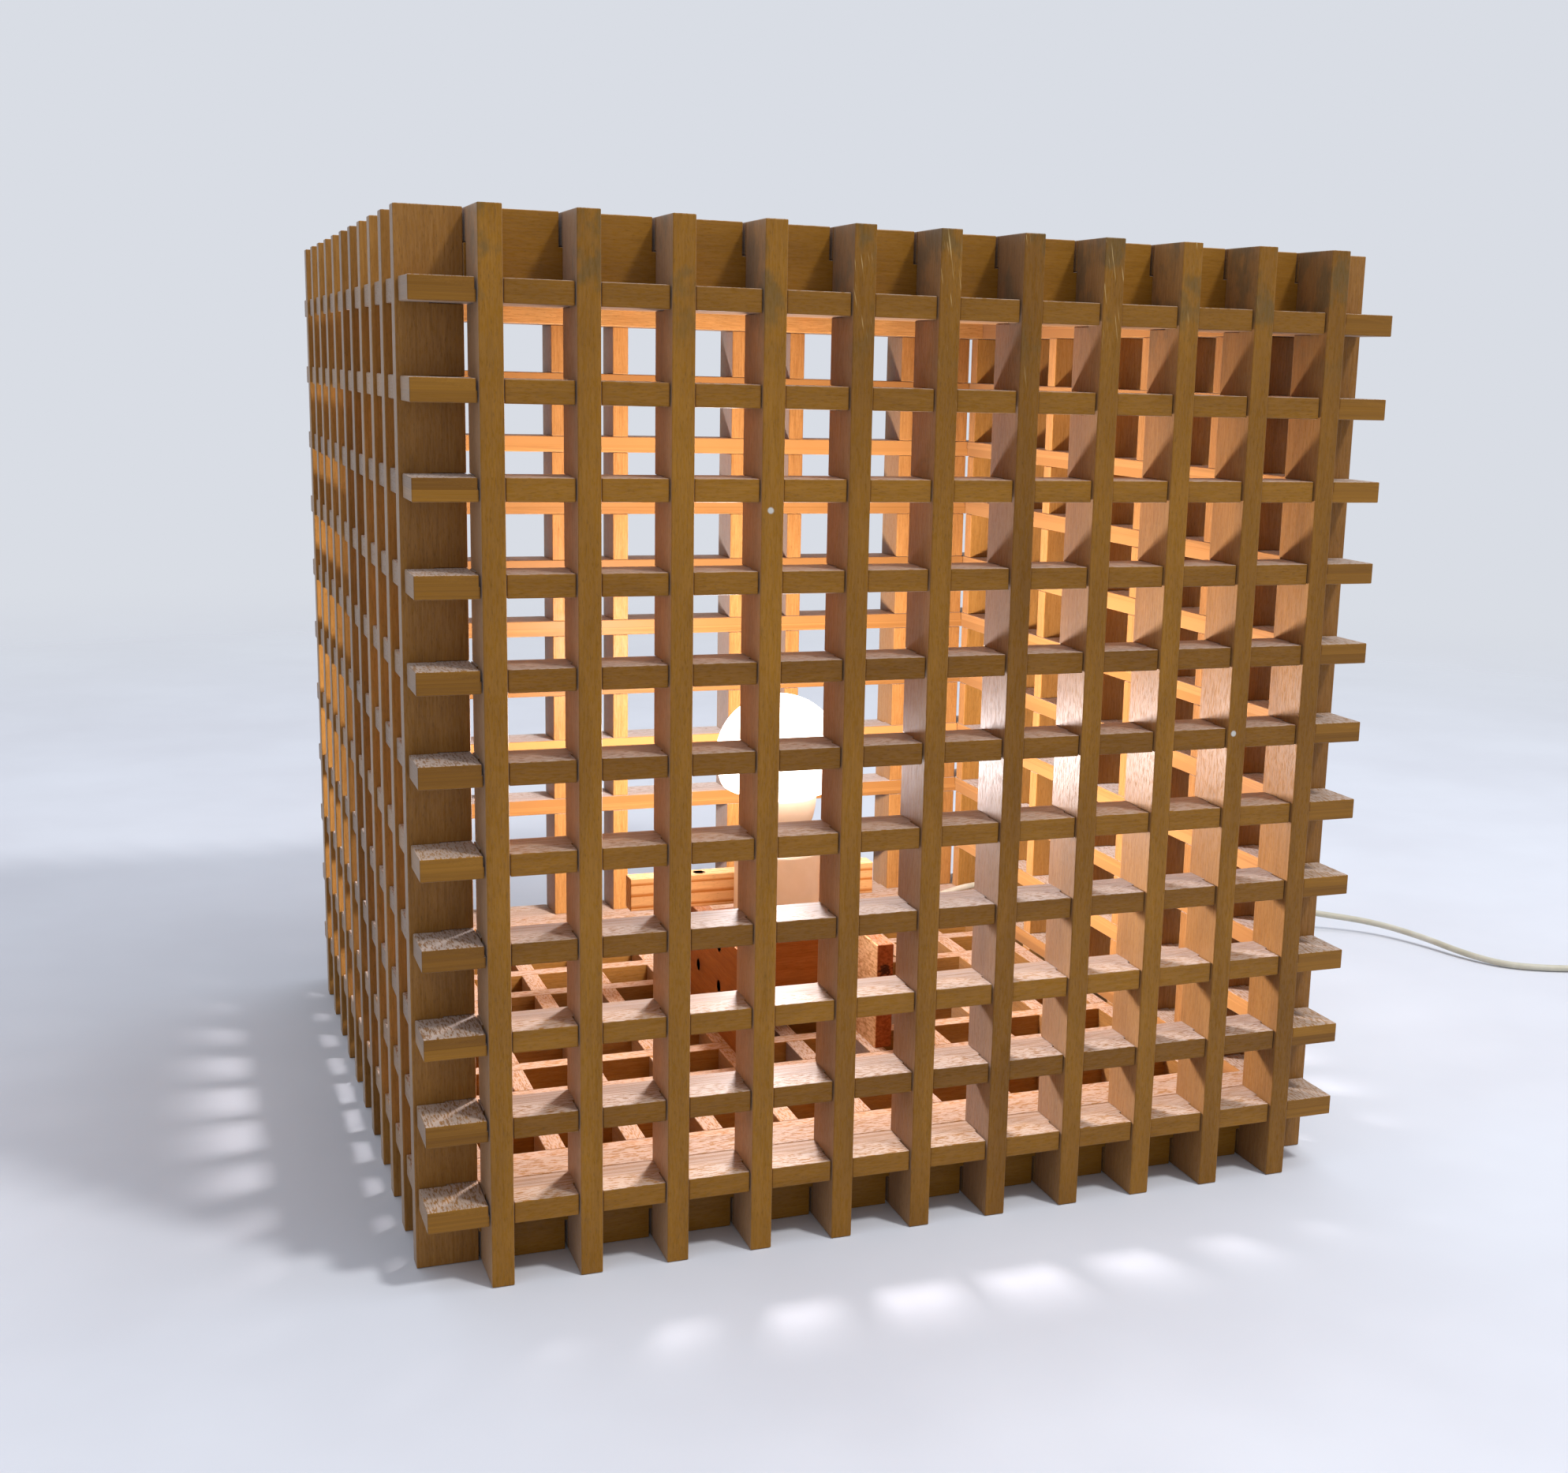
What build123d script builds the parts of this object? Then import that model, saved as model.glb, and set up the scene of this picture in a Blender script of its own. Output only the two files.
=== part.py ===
"""Andon floor lamp: a cube of half-lapped wooden slats round a bare bulb on a small stand.

All sizes are millimetres.  X runs along the front, -Y is the front and +Z is up.
The origin is the middle of the footprint, on the floor.
"""
from build123d import *
import math
import os

os.makedirs("parts", exist_ok=True)

# ---------------------------------------------------------------- driving dimensions

# The slats of the cube
SLAT_THICKNESS = 10.0
SLAT_DEPTH = 28.0
COLUMNS = 11
COLUMN_PITCH = 40.0
ROWS = 11
ROW_PITCH = 39.75
CORNER_GAP = 1.0  # outermost grid slat to the inner face of a side
GRID_GAP = 0.75  # bottom grid to the lowest rail
RAIL_RECESS = 1.5  # rails stand back from the faces of the uprights
RAIL_NOTCH_PLAY = 0.5  # air on each side of an upright in a rail's notch
NOTCH_PLAY = 0.1  # air on each side of a slat in every other notch

# The boards along the front and back that carry the two grids
BOARD_THICKNESS = 19.0
BOARD_SLOT_PLAY = 1.4  # air on each side of a grid slat in a board's slot
SEAT_GAP = 0.3  # loose seat of a piece that lifts off

# The grids
LONG_SLATS = 9

# The bulb stand on the bottom grid
STAND_BOARD = 10.0
STAND_HEIGHT = 60.5
STAND_LENGTH = 140.0
STAND_INNER_WIDTH = 67.5
STAND_MIDDLE = 5.75  # the stand is not quite in the middle of the cube
CROSS_FRONT = 26.0  # middle of the stand to the front face of the cross board
CROSS_HEIGHT = 40.0
BATTEN_LENGTH = 152.0
BATTEN_MIDDLE = 0.0
BATTEN_HEIGHT = 19.5
BATTEN_THICKNESS = 12.0
BATTEN_PLACE = 39.0
CABLE_HOLE = 12.0

# The lampholder, an E27 socket of the kind that screws down on a board
HOLDER_X = 3.0
HOLDER_RADIUS = 25.0
HOLDER_WALL = 2.5
HOLDER_HEIGHT = 42.0
HOLDER_TOP = 3.0
HOLDER_ROUND = 2.0  # rounding of the shell's rim
HOLDER_MOUTH = 15.5
CORE_RADIUS = 17.0
CORE_FLANGE = 5.0
CORE_FLOOR = 12.0
SOCKET_FLOOR = 22.5
CHAMBER_RADIUS = 13.0
SCREW_SHELL_WALL = 0.6
SCREW_SHELL_HEIGHT = 15.5
SCREW_SHELL_AIR = 0.3  # cap of the bulb to the screw shell
CONTACT_RADIUS = 4.0
CONTACT_SHANK = 1.5
CONTACT_HEIGHT = 1.4

# The bulb, 60 mm across, with an E27 cap
CAP_RADIUS = 13.1
CAP_HEIGHT = 18.5
CAP_THREAD_PITCH = 3.6
CAP_THREAD_DEPTH = 0.9
CAP_THREADS = 4
TIP_RADIUS = 4.8
TIP_HEIGHT = 1.6
TIP_SKIRT = 3.6
TIP_SKIRT_RADIUS = 11.0
HOUSING_FOOT_RADIUS = 13.8
HOUSING_TOP_RADIUS = 20.0
HOUSING_HEIGHT = 20.0
HOUSING_FOOT_FLARE = 0.15  # outwards for each 1 up
HOUSING_TOP_FLARE = 0.45
GLOBE_RADIUS = 30.0
GLOBE_MIDDLE = 76.0  # tip of the cap to the widest place of the globe
GLOBE_TOP_HEIGHT = 32.5  # widest place to the top of the globe
GLOBE_FLARE = 0.55

# Wood screws
SCREW_LENGTH = 30.0
SCREW_RADIUS = 1.75
SCREW_HEAD_RADIUS = 3.5
SCREW_POINT = 4.0
SCREW_SPACING = 24.0
HOLDER_SCREW_LENGTH = 13.0
HOLDER_SCREW_RADIUS = 1.4
HOLDER_SCREW_HEAD_RADIUS = 2.4
HOLDER_SCREW_HEAD_HEIGHT = 1.8

# The cord
CORD_DIAMETER = 4.5
GLAND_FLANGE_RADIUS = 9.0
GLAND_FLANGE = 2.0
GLAND_LENGTH = 16.0
GLAND_TIP_RADIUS = 3.4
GLAND_SPIGOT = 4.0
ARC_SHARE = 0.45  # of the shorter run beside each corner of the cord's route
COIL_MIDDLE = (636.0, -36.0)
COIL_RADIUS = 24.75  # middle of the coil's turns
COIL_WIDTH = 14.0
COIL_HEIGHT = 9.1
COIL_ROUND = 3.0
TIE_WIDTH = 6.0
TIE_THICKNESS = 0.8
TIE_AIR = 0.2

# The two-pin plug
PLUG_LENGTH = 36.0
PLUG_WIDTH = 26.0
PLUG_HEIGHT = 13.7
PLUG_NECK_LENGTH = 18.0
PLUG_NECK_RADIUS = 4.5
PLUG_NECK_TIP = 3.0
PLUG_NECK_WIDTH = 14.0
PLUG_TAPER = 1.5
PLUG_SHOULDER = 12.0
PLUG_ROUND = 4.0
PIN_RADIUS = 2.0
PIN_LENGTH = 19.0
PIN_SPACING = 18.6
PIN_INSERT = 8.0
PIN_CHAMFER = 0.8

# ---------------------------------------------------------------- places worked out

half_slat = SLAT_THICKNESS / 2
half_lap = SLAT_DEPTH / 2
last_column = COLUMN_PITCH * (COLUMNS - 1) / 2
grid_edge = last_column + half_slat
inner_face = grid_edge + CORNER_GAP
outer_face = inner_face + SLAT_DEPTH
rail_face = outer_face - RAIL_RECESS
lap_face = inner_face + half_lap
board_face = inner_face - BOARD_THICKNESS
first_row = SLAT_DEPTH + GRID_GAP + half_slat
cube_height = 2 * first_row + ROW_PITCH * (ROWS - 1)
board_height = first_row + half_slat
top_grid_base = cube_height - SLAT_DEPTH
notch_width = SLAT_THICKNESS + 2 * NOTCH_PLAY
rail_notch_width = SLAT_THICKNESS + 2 * RAIL_NOTCH_PLAY
column_starts = [COLUMN_PITCH * i - last_column - half_slat for i in range(COLUMNS)]
last_long = COLUMN_PITCH * (LONG_SLATS - 1) / 2
long_starts = [COLUMN_PITCH * i - last_long - half_slat for i in range(LONG_SLATS)]
row_levels = [first_row + ROW_PITCH * i for i in range(ROWS)]
row_bases = [level - half_slat for level in row_levels]

stand_base = SLAT_DEPTH
stand_top = stand_base + STAND_HEIGHT
stand_side = (STAND_INNER_WIDTH + STAND_BOARD) / 2
cross_place = CROSS_FRONT - STAND_BOARD / 2
cross_inside = CROSS_FRONT - STAND_BOARD
cross_middle = stand_top - CROSS_HEIGHT / 2
stand_outside = STAND_INNER_WIDTH / 2 + STAND_BOARD
plate_base = stand_top - STAND_BOARD
batten_top = stand_top + BATTEN_HEIGHT

core_height = HOLDER_HEIGHT - HOLDER_TOP
shell_inside = CAP_RADIUS + SCREW_SHELL_AIR
shell_outside = shell_inside + SCREW_SHELL_WALL
flange_radius = HOLDER_RADIUS - HOLDER_WALL - NOTCH_PLAY
holder_screw_ring = (CORE_RADIUS + flange_radius) / 2
tip_level = stand_top + SOCKET_FLOOR + CONTACT_HEIGHT + SEAT_GAP

# ---------------------------------------------------------------- helpers


def side_plane(turn):
    """Plane of one side seen from above: x along the side, -y outwards."""
    return Plane.XY.rotated((0, 0, turn))


def upright_plane(turn, place):
    """Upright plane across a side, at a place along its normal: x outwards, y up."""
    side = side_plane(turn)
    across = side.x_dir * -1
    return Plane(origin=across * place, x_dir=side.y_dir * -1, z_dir=across)


def profile_plane(level):
    """Upright plane through the lampholder's axis: x is the radius, y the height over a level."""
    return Plane(origin=(HOLDER_X, 0, level), x_dir=(1, 0, 0), z_dir=(0, -1, 0))


def cord_path(points):
    """Straight runs joined by arcs as large as the runs allow; prints the arcs' radii."""
    runs = [Vector(*end) - Vector(*start) for start, end in zip(points, points[1:])]
    radii = []
    for run, next_run in zip(runs, runs[1:]):
        turn = math.radians(run.get_angle(next_run))
        radii.append(ARC_SHARE * min(run.length, next_run.length) / math.tan(turn / 2))
    print("cord radii:", [round(radius) for radius in radii])
    return FilletPolyline(*points, radius=radii)


def write(name, piece):
    """Label a finished piece and write it as its own file."""
    piece.part.label = name
    export_step(piece.part, f"parts/{name}.step")


# ---------------------------------------------------------------- the four sides

# Front and back rails keep the lower half of each corner lap, side rails the upper half.
SIDES = {"front": (0, 1), "right": (90, -1), "back": (180, 1), "left": (270, -1)}

for side_name, (turn, lap_side) in SIDES.items():
    # Full-height uprights, notched from the inside so that their outer faces run through
    with BuildPart() as uprights:
        with BuildSketch(*[upright_plane(turn, place) for place in column_starts]):
            with Locations((lap_face, cube_height / 2)):
                Rectangle(SLAT_DEPTH, cube_height)
            with Locations((inner_face + half_lap / 2, cube_height / 2)):
                with GridLocations(0, ROW_PITCH, 1, ROWS):
                    Rectangle(half_lap, notch_width, mode=Mode.SUBTRACT)
        extrude(amount=SLAT_THICKNESS)
    write(f"{side_name}_uprights", uprights)

    # Rails, notched from the outside round each upright and half-lapped at the corners
    with BuildPart() as rails:
        with BuildSketch(*[side_plane(turn).offset(level) for level in row_bases]):
            with Locations((0, -(inner_face + rail_face) / 2)):
                Rectangle(2 * rail_face, rail_face - inner_face)
            with Locations((0, -(lap_face + rail_face) / 2)):
                with GridLocations(COLUMN_PITCH, 0, COLUMNS, 1):
                    Rectangle(rail_notch_width, rail_face - lap_face, mode=Mode.SUBTRACT)
        extrude(amount=SLAT_THICKNESS)
        corner_start = last_column + rail_notch_width / 2
        with BuildSketch(*[side_plane(turn).offset(level) for level in row_levels]):
            with Locations((0, -(inner_face + rail_face) / 2)):
                with GridLocations(corner_start + rail_face, 0, 2, 1):
                    Rectangle(rail_face - corner_start, rail_face - inner_face)
        extrude(amount=lap_side * half_slat, mode=Mode.SUBTRACT)
    write(f"{side_name}_rails", rails)

# ---------------------------------------------------------------- the boards

# One board inside each of the four horizontal edges at the front and back.  Its slots
# hold the ends of the grid's cross slats: the top ones open upwards, the bottom ones down.
slot_width = SLAT_THICKNESS + 2 * BOARD_SLOT_PLAY
slot_depth = half_lap + SEAT_GAP
top_level = cube_height - board_height / 2
BOARDS = {
    "bottom_front_board": (board_face, board_height / 2, -1),
    "bottom_back_board": (-inner_face, board_height / 2, -1),
    "top_front_board": (board_face, top_level, 1),
    "top_back_board": (-inner_face, top_level, 1),
}

for board_name, (forward, level, slot_side) in BOARDS.items():
    with BuildPart() as board:
        with BuildSketch(Plane.XZ.offset(forward)):
            with Locations((0, level)):
                Rectangle(2 * inner_face, board_height)
            with Locations((0, level + slot_side * (board_height - slot_depth) / 2)):
                with GridLocations(COLUMN_PITCH, 0, COLUMNS, 1):
                    Rectangle(slot_width, slot_depth, mode=Mode.SUBTRACT)
        extrude(amount=BOARD_THICKNESS)
    write(board_name, board)

# ---------------------------------------------------------------- the grids

# Slats on edge, half-lapped into each other.  The cross slats run front to back with
# their ends halved over the boards.  The bottom grid is the top grid turned over.
end_lap = inner_face - board_face + NOTCH_PLAY
GRIDS = {"bottom": (0, 1), "top": (top_grid_base, -1)}

for grid_name, (base, slot_side) in GRIDS.items():
    grid_middle = base + half_lap
    with BuildPart() as cross_slats:
        with BuildSketch(*[Plane.YZ.offset(place) for place in column_starts]):
            with Locations((0, grid_middle)):
                Rectangle(2 * inner_face, SLAT_DEPTH)
            with Locations((0, grid_middle + slot_side * half_lap / 2)):
                with GridLocations(COLUMN_PITCH, 0, LONG_SLATS, 1):
                    Rectangle(notch_width, half_lap, mode=Mode.SUBTRACT)
                with GridLocations(2 * inner_face - end_lap, 0, 2, 1):
                    Rectangle(end_lap, half_lap, mode=Mode.SUBTRACT)
        extrude(amount=SLAT_THICKNESS)
    write(f"{grid_name}_cross_slats", cross_slats)

    with BuildPart() as long_slats:
        with BuildSketch(*[Plane.XZ.offset(place) for place in long_starts]):
            with Locations((0, grid_middle)):
                Rectangle(2 * grid_edge, SLAT_DEPTH)
            with Locations((0, grid_middle - slot_side * half_lap / 2)):
                with GridLocations(COLUMN_PITCH, 0, COLUMNS, 1):
                    Rectangle(notch_width, half_lap, mode=Mode.SUBTRACT)
        extrude(amount=SLAT_THICKNESS)
    write(f"{grid_name}_long_slats", long_slats)

# ---------------------------------------------------------------- the bulb stand

# Two boards on edge, joined by two cross boards that stop short of the grid, so that
# the cord passes below them.  Each joint has two countersunk screws from the outside.
STAND_SIDES = {"stand_left_board": -1, "stand_right_board": 1}

for board_name, hand in STAND_SIDES.items():
    board_middle = STAND_MIDDLE + hand * stand_side
    outside = Plane(
        origin=(STAND_MIDDLE + hand * stand_outside, 0, cross_middle),
        x_dir=(0, 1, 0),
        z_dir=(hand, 0, 0),
    )
    with BuildPart() as stand_board:
        with BuildSketch(Plane.YZ.offset(board_middle - STAND_BOARD / 2)):
            with Locations((0, stand_base + STAND_HEIGHT / 2)):
                Rectangle(STAND_LENGTH, STAND_HEIGHT)
        extrude(amount=STAND_BOARD)
        with Locations(outside):
            with GridLocations(2 * cross_place, SCREW_SPACING, 2, 2):
                CounterSinkHole(SCREW_RADIUS, SCREW_HEAD_RADIUS, STAND_BOARD, 90)
        with Locations((board_middle, BATTEN_PLACE, stand_top)):
            Hole(SCREW_RADIUS, SCREW_LENGTH - BATTEN_HEIGHT)
    write(board_name, stand_board)

STAND_CROSSES = {"stand_front_cross": cross_inside, "stand_back_cross": -CROSS_FRONT}
screw_reach = SCREW_LENGTH - STAND_BOARD

for board_name, start in STAND_CROSSES.items():
    with BuildPart() as cross_board:
        with BuildSketch(Plane.XZ.offset(start)):
            with Locations((STAND_MIDDLE, cross_middle)):
                Rectangle(STAND_INNER_WIDTH, CROSS_HEIGHT)
        extrude(amount=STAND_BOARD)
        for end in cross_board.faces().filter_by(Axis.X):
            with Locations(Plane(origin=end.center(), x_dir=(0, 1, 0), z_dir=end.normal_at())):
                with GridLocations(0, SCREW_SPACING, 1, 2):
                    Hole(SCREW_RADIUS, screw_reach)
    write(board_name, cross_board)

# The plate under the lampholder, let in flush between the cross boards
with BuildPart() as stand_plate:
    with BuildSketch(Plane.XY.offset(plate_base)):
        with Locations((STAND_MIDDLE, 0)):
            Rectangle(STAND_INNER_WIDTH, 2 * cross_inside)
        with Locations((HOLDER_X, 0)):
            Circle(CABLE_HOLE / 2, mode=Mode.SUBTRACT)
    extrude(amount=STAND_BOARD)
    with Locations((HOLDER_X, 0, stand_top)):
        with GridLocations(2 * holder_screw_ring, 0, 2, 1):
            Hole(HOLDER_SCREW_RADIUS, HOLDER_SCREW_LENGTH - CORE_FLANGE)
write("stand_plate", stand_plate)

# A batten of rough pine lies across both boards behind the lampholder
with BuildPart() as stand_batten:
    with BuildSketch(Plane.XZ.offset(-BATTEN_PLACE - BATTEN_THICKNESS / 2)):
        with Locations((BATTEN_MIDDLE, stand_top + BATTEN_HEIGHT / 2)):
            Rectangle(BATTEN_LENGTH, BATTEN_HEIGHT)
    extrude(amount=BATTEN_THICKNESS)
    with Locations((STAND_MIDDLE, BATTEN_PLACE, batten_top)):
        with GridLocations(2 * stand_side, 0, 2, 1):
            CounterSinkHole(SCREW_RADIUS, SCREW_HEAD_RADIUS, BATTEN_HEIGHT, 90)
write("stand_batten", stand_batten)

# One countersunk wood screw, head up, with its top face on the plane it stands in
with BuildPart() as wood_screw:
    with BuildSketch(Plane.XZ):
        with BuildLine():
            Polyline(
                (0, 0),
                (SCREW_HEAD_RADIUS, 0),
                (SCREW_RADIUS, SCREW_RADIUS - SCREW_HEAD_RADIUS),
                (SCREW_RADIUS, SCREW_POINT - SCREW_LENGTH),
                (0, -SCREW_LENGTH),
                close=True,
            )
        make_face()
    revolve(axis=Axis.Z)

with BuildPart() as stand_screws:
    for hand in STAND_SIDES.values():
        outside = Plane(
            origin=(STAND_MIDDLE + hand * stand_outside, 0, cross_middle),
            x_dir=(0, 1, 0),
            z_dir=(hand, 0, 0),
        )
        with Locations(outside):
            with GridLocations(2 * cross_place, SCREW_SPACING, 2, 2):
                add(wood_screw.part)
write("stand_screws", stand_screws)

with BuildPart() as batten_screws:
    with Locations((STAND_MIDDLE, BATTEN_PLACE, batten_top)):
        with GridLocations(2 * stand_side, 0, 2, 1):
            add(wood_screw.part)
write("batten_screws", batten_screws)

# ---------------------------------------------------------------- the lampholder

holder_profile = profile_plane(stand_top)
holder_axis = Axis((HOLDER_X, 0, 0), (0, 0, 1))

# Outer shell: a plain cylinder with an inturned top round the bulb
with BuildPart() as lampholder_shell:
    with BuildSketch(holder_profile):
        with BuildLine():
            Polyline(
                (HOLDER_RADIUS, 0),
                (HOLDER_RADIUS, HOLDER_HEIGHT),
                (HOLDER_MOUTH, HOLDER_HEIGHT),
                (HOLDER_MOUTH, core_height),
                (HOLDER_RADIUS - HOLDER_WALL, core_height),
                (HOLDER_RADIUS - HOLDER_WALL, 0),
                close=True,
            )
        make_face()
    revolve(axis=holder_axis)
    rim = lampholder_shell.edges().filter_by(GeomType.CIRCLE).group_by(Axis.Z)[-1]
    fillet(rim.sort_by(SortBy.RADIUS)[-1], HOLDER_ROUND)
write("lampholder_shell", lampholder_shell)

# Porcelain core: a flange for the screws, a terminal chamber below and the socket above
with BuildPart() as lampholder_core:
    with BuildSketch(holder_profile):
        with BuildLine():
            Polyline(
                (CHAMBER_RADIUS, 0),
                (flange_radius, 0),
                (flange_radius, CORE_FLANGE),
                (CORE_RADIUS, CORE_FLANGE),
                (CORE_RADIUS, core_height),
                (shell_outside, core_height),
                (shell_outside, SOCKET_FLOOR),
                (CONTACT_SHANK, SOCKET_FLOOR),
                (CONTACT_SHANK, CORE_FLOOR),
                (CHAMBER_RADIUS, CORE_FLOOR),
                close=True,
            )
        make_face()
    revolve(axis=holder_axis)
    with Locations((HOLDER_X, 0, stand_top + CORE_FLANGE)):
        with GridLocations(2 * holder_screw_ring, 0, 2, 1):
            Hole(HOLDER_SCREW_RADIUS, CORE_FLANGE)
write("lampholder_core", lampholder_core)

# Brass screw shell in the socket
with BuildPart() as lampholder_screw_shell:
    with BuildSketch(Plane.XY.offset(stand_top + SOCKET_FLOOR)):
        with Locations((HOLDER_X, 0)):
            Circle(shell_outside)
            Circle(shell_inside, mode=Mode.SUBTRACT)
    extrude(amount=SCREW_SHELL_HEIGHT)
write("lampholder_screw_shell", lampholder_screw_shell)

# Centre contact: a brass rivet through the floor of the socket
with BuildPart() as lampholder_contact:
    with BuildSketch(holder_profile):
        with BuildLine():
            Polyline(
                (0, CORE_FLOOR - CONTACT_HEIGHT),
                (CONTACT_RADIUS, CORE_FLOOR - CONTACT_HEIGHT),
                (CONTACT_RADIUS, CORE_FLOOR),
                (CONTACT_SHANK, CORE_FLOOR),
                (CONTACT_SHANK, SOCKET_FLOOR),
                (CONTACT_RADIUS, SOCKET_FLOOR),
                (CONTACT_RADIUS, SOCKET_FLOOR + CONTACT_HEIGHT),
                (0, SOCKET_FLOOR + CONTACT_HEIGHT),
                close=True,
            )
        make_face()
    revolve(axis=holder_axis)
write("lampholder_contact", lampholder_contact)

with BuildPart() as lampholder_screws:
    with Locations((HOLDER_X, 0, stand_top + CORE_FLANGE)):
        with GridLocations(2 * holder_screw_ring, 0, 2, 1):
            Cylinder(
                HOLDER_SCREW_HEAD_RADIUS,
                HOLDER_SCREW_HEAD_HEIGHT,
                align=(Align.CENTER, Align.CENTER, Align.MIN),
            )
            Cylinder(
                HOLDER_SCREW_RADIUS,
                HOLDER_SCREW_LENGTH,
                align=(Align.CENTER, Align.CENTER, Align.MAX),
            )
write("lampholder_screws", lampholder_screws)

# Gland below the plate: a flange, a spigot in the cable hole and a tapered sleeve
with BuildPart() as cord_gland:
    with BuildSketch(profile_plane(plate_base)):
        with BuildLine():
            Polyline(
                (0, GLAND_SPIGOT),
                (CABLE_HOLE / 2 - NOTCH_PLAY, GLAND_SPIGOT),
                (CABLE_HOLE / 2 - NOTCH_PLAY, 0),
                (GLAND_FLANGE_RADIUS, 0),
                (GLAND_FLANGE_RADIUS, -GLAND_FLANGE),
                (CABLE_HOLE / 2 - NOTCH_PLAY, -GLAND_FLANGE),
                (GLAND_TIP_RADIUS, -GLAND_LENGTH),
                (0, -GLAND_LENGTH),
                close=True,
            )
        make_face()
    revolve(axis=holder_axis)
write("cord_gland", cord_gland)

# ---------------------------------------------------------------- the bulb

bulb_profile = profile_plane(tip_level)
cap_base = TIP_HEIGHT + TIP_SKIRT
cap_top = cap_base + CAP_HEIGHT
housing_top = cap_top + HOUSING_HEIGHT

with BuildPart() as bulb_tip:
    with BuildSketch(bulb_profile):
        with BuildLine():
            Polyline((0, TIP_HEIGHT), (0, 0))
            TangentArc((0, 0), (TIP_RADIUS, TIP_HEIGHT), tangent=(1, 0))
            Line((TIP_RADIUS, TIP_HEIGHT), (0, TIP_HEIGHT))
        make_face()
    revolve(axis=holder_axis)
write("bulb_tip", bulb_tip)

with BuildPart() as bulb_cap_insulator:
    with BuildSketch(bulb_profile):
        with BuildLine():
            Polyline(
                (0, TIP_HEIGHT),
                (TIP_RADIUS, TIP_HEIGHT),
                (TIP_SKIRT_RADIUS, cap_base),
                (0, cap_base),
                close=True,
            )
        make_face()
    revolve(axis=holder_axis)
write("bulb_cap_insulator", bulb_cap_insulator)

# Cap with rolled thread turns, drawn as rounded rings
with BuildPart() as bulb_cap:
    with BuildSketch(bulb_profile):
        with BuildLine():
            Polyline(
                (CAP_RADIUS - CAP_THREAD_DEPTH, cap_base),
                (0, cap_base),
                (0, cap_top),
                (CAP_RADIUS, cap_top),
                (CAP_RADIUS, cap_base + CAP_THREADS * CAP_THREAD_PITCH),
                (CAP_RADIUS - CAP_THREAD_DEPTH, cap_base + CAP_THREADS * CAP_THREAD_PITCH),
            )
            for i in range(CAP_THREADS):
                ThreePointArc(
                    (CAP_RADIUS - CAP_THREAD_DEPTH, cap_base + i * CAP_THREAD_PITCH),
                    (CAP_RADIUS, cap_base + (i + 0.5) * CAP_THREAD_PITCH),
                    (CAP_RADIUS - CAP_THREAD_DEPTH, cap_base + (i + 1) * CAP_THREAD_PITCH),
                )
        make_face()
    revolve(axis=holder_axis)
write("bulb_cap", bulb_cap)

# Plastic housing of the LED driver, widening from the cap to the globe
with BuildPart() as bulb_housing:
    with BuildSketch(bulb_profile):
        with BuildLine():
            Line((0, cap_top), (HOUSING_FOOT_RADIUS, cap_top))
            Spline(
                (HOUSING_FOOT_RADIUS, cap_top),
                (HOUSING_TOP_RADIUS, housing_top),
                tangents=((HOUSING_FOOT_FLARE, 1), (HOUSING_TOP_FLARE, 1)),
            )
            Polyline((HOUSING_TOP_RADIUS, housing_top), (0, housing_top), (0, cap_top))
        make_face()
    revolve(axis=holder_axis)
write("bulb_housing", bulb_housing)

# Opal globe
with BuildPart() as bulb_globe:
    with BuildSketch(bulb_profile):
        with BuildLine():
            Line((0, housing_top), (HOUSING_TOP_RADIUS, housing_top))
            Spline(
                (HOUSING_TOP_RADIUS, housing_top),
                (GLOBE_RADIUS, GLOBE_MIDDLE),
                (0, GLOBE_MIDDLE + GLOBE_TOP_HEIGHT),
                tangents=((GLOBE_FLARE, 1), (-1, 0)),
            )
            Line((0, GLOBE_MIDDLE + GLOBE_TOP_HEIGHT), (0, housing_top))
        make_face()
    revolve(axis=holder_axis)
write("bulb_globe", bulb_globe)

# ---------------------------------------------------------------- the cord

# From the gland down to the bottom grid, back between the stand's boards, round to the
# right, over the lowest right rail between two uprights and down to the floor.
CORD_POINTS = [
    (3.0, 0.0, 62.5),
    (3.0, 0.0, 44.6),
    (3.8, 14.3, 30.4),
    (7.0, 40.0, 30.4),
    (16.0, 82.0, 30.4),
    (44.0, 118.0, 30.4),
    (92.0, 140.0, 30.5),
    (143.0, 152.0, 33.0),
    (188.0, 172.0, 45.5),
    (243.0, 181.0, 45.5),
    (296.0, 186.0, 37.5),
    (348.0, 184.0, 29.0),
    (400.0, 176.0, 21.5),
    (446.0, 160.0, 15.8),
    (486.0, 140.0, 11.4),
    (515.0, 119.0, 8.9),
    (532.0, 84.0, 6.4),
    (541.0, 48.0, 3.9),
    (556.0, 21.0, 2.4),
    (580.0, 6.5, 2.4),
    (606.0, -2.5, 2.4),
    (632.0, -6.4, 2.4),
]

# The rest of the cord is wound up on the floor, with the plug beside it
TAIL_POINTS = [
    (665.1, -36.0, 7.3),
    (664.9, -56.0, 6.0),
    (667.0, -77.0, 6.85),
    (667.0, -98.0, 6.85),
]

coil_base = TIE_AIR + TIE_THICKNESS
coil_plane = Plane(origin=(*COIL_MIDDLE, coil_base), x_dir=(1, 0, 0), z_dir=(0, -1, 0))
coil_axis = Axis((*COIL_MIDDLE, 0), (0, 0, 1))

with BuildPart() as cord_coil:
    with BuildSketch(coil_plane):
        with Locations((COIL_RADIUS, COIL_HEIGHT / 2)):
            RectangleRounded(COIL_WIDTH, COIL_HEIGHT, COIL_ROUND)
    revolve(axis=coil_axis)
write("cord_coil", cord_coil)

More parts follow.
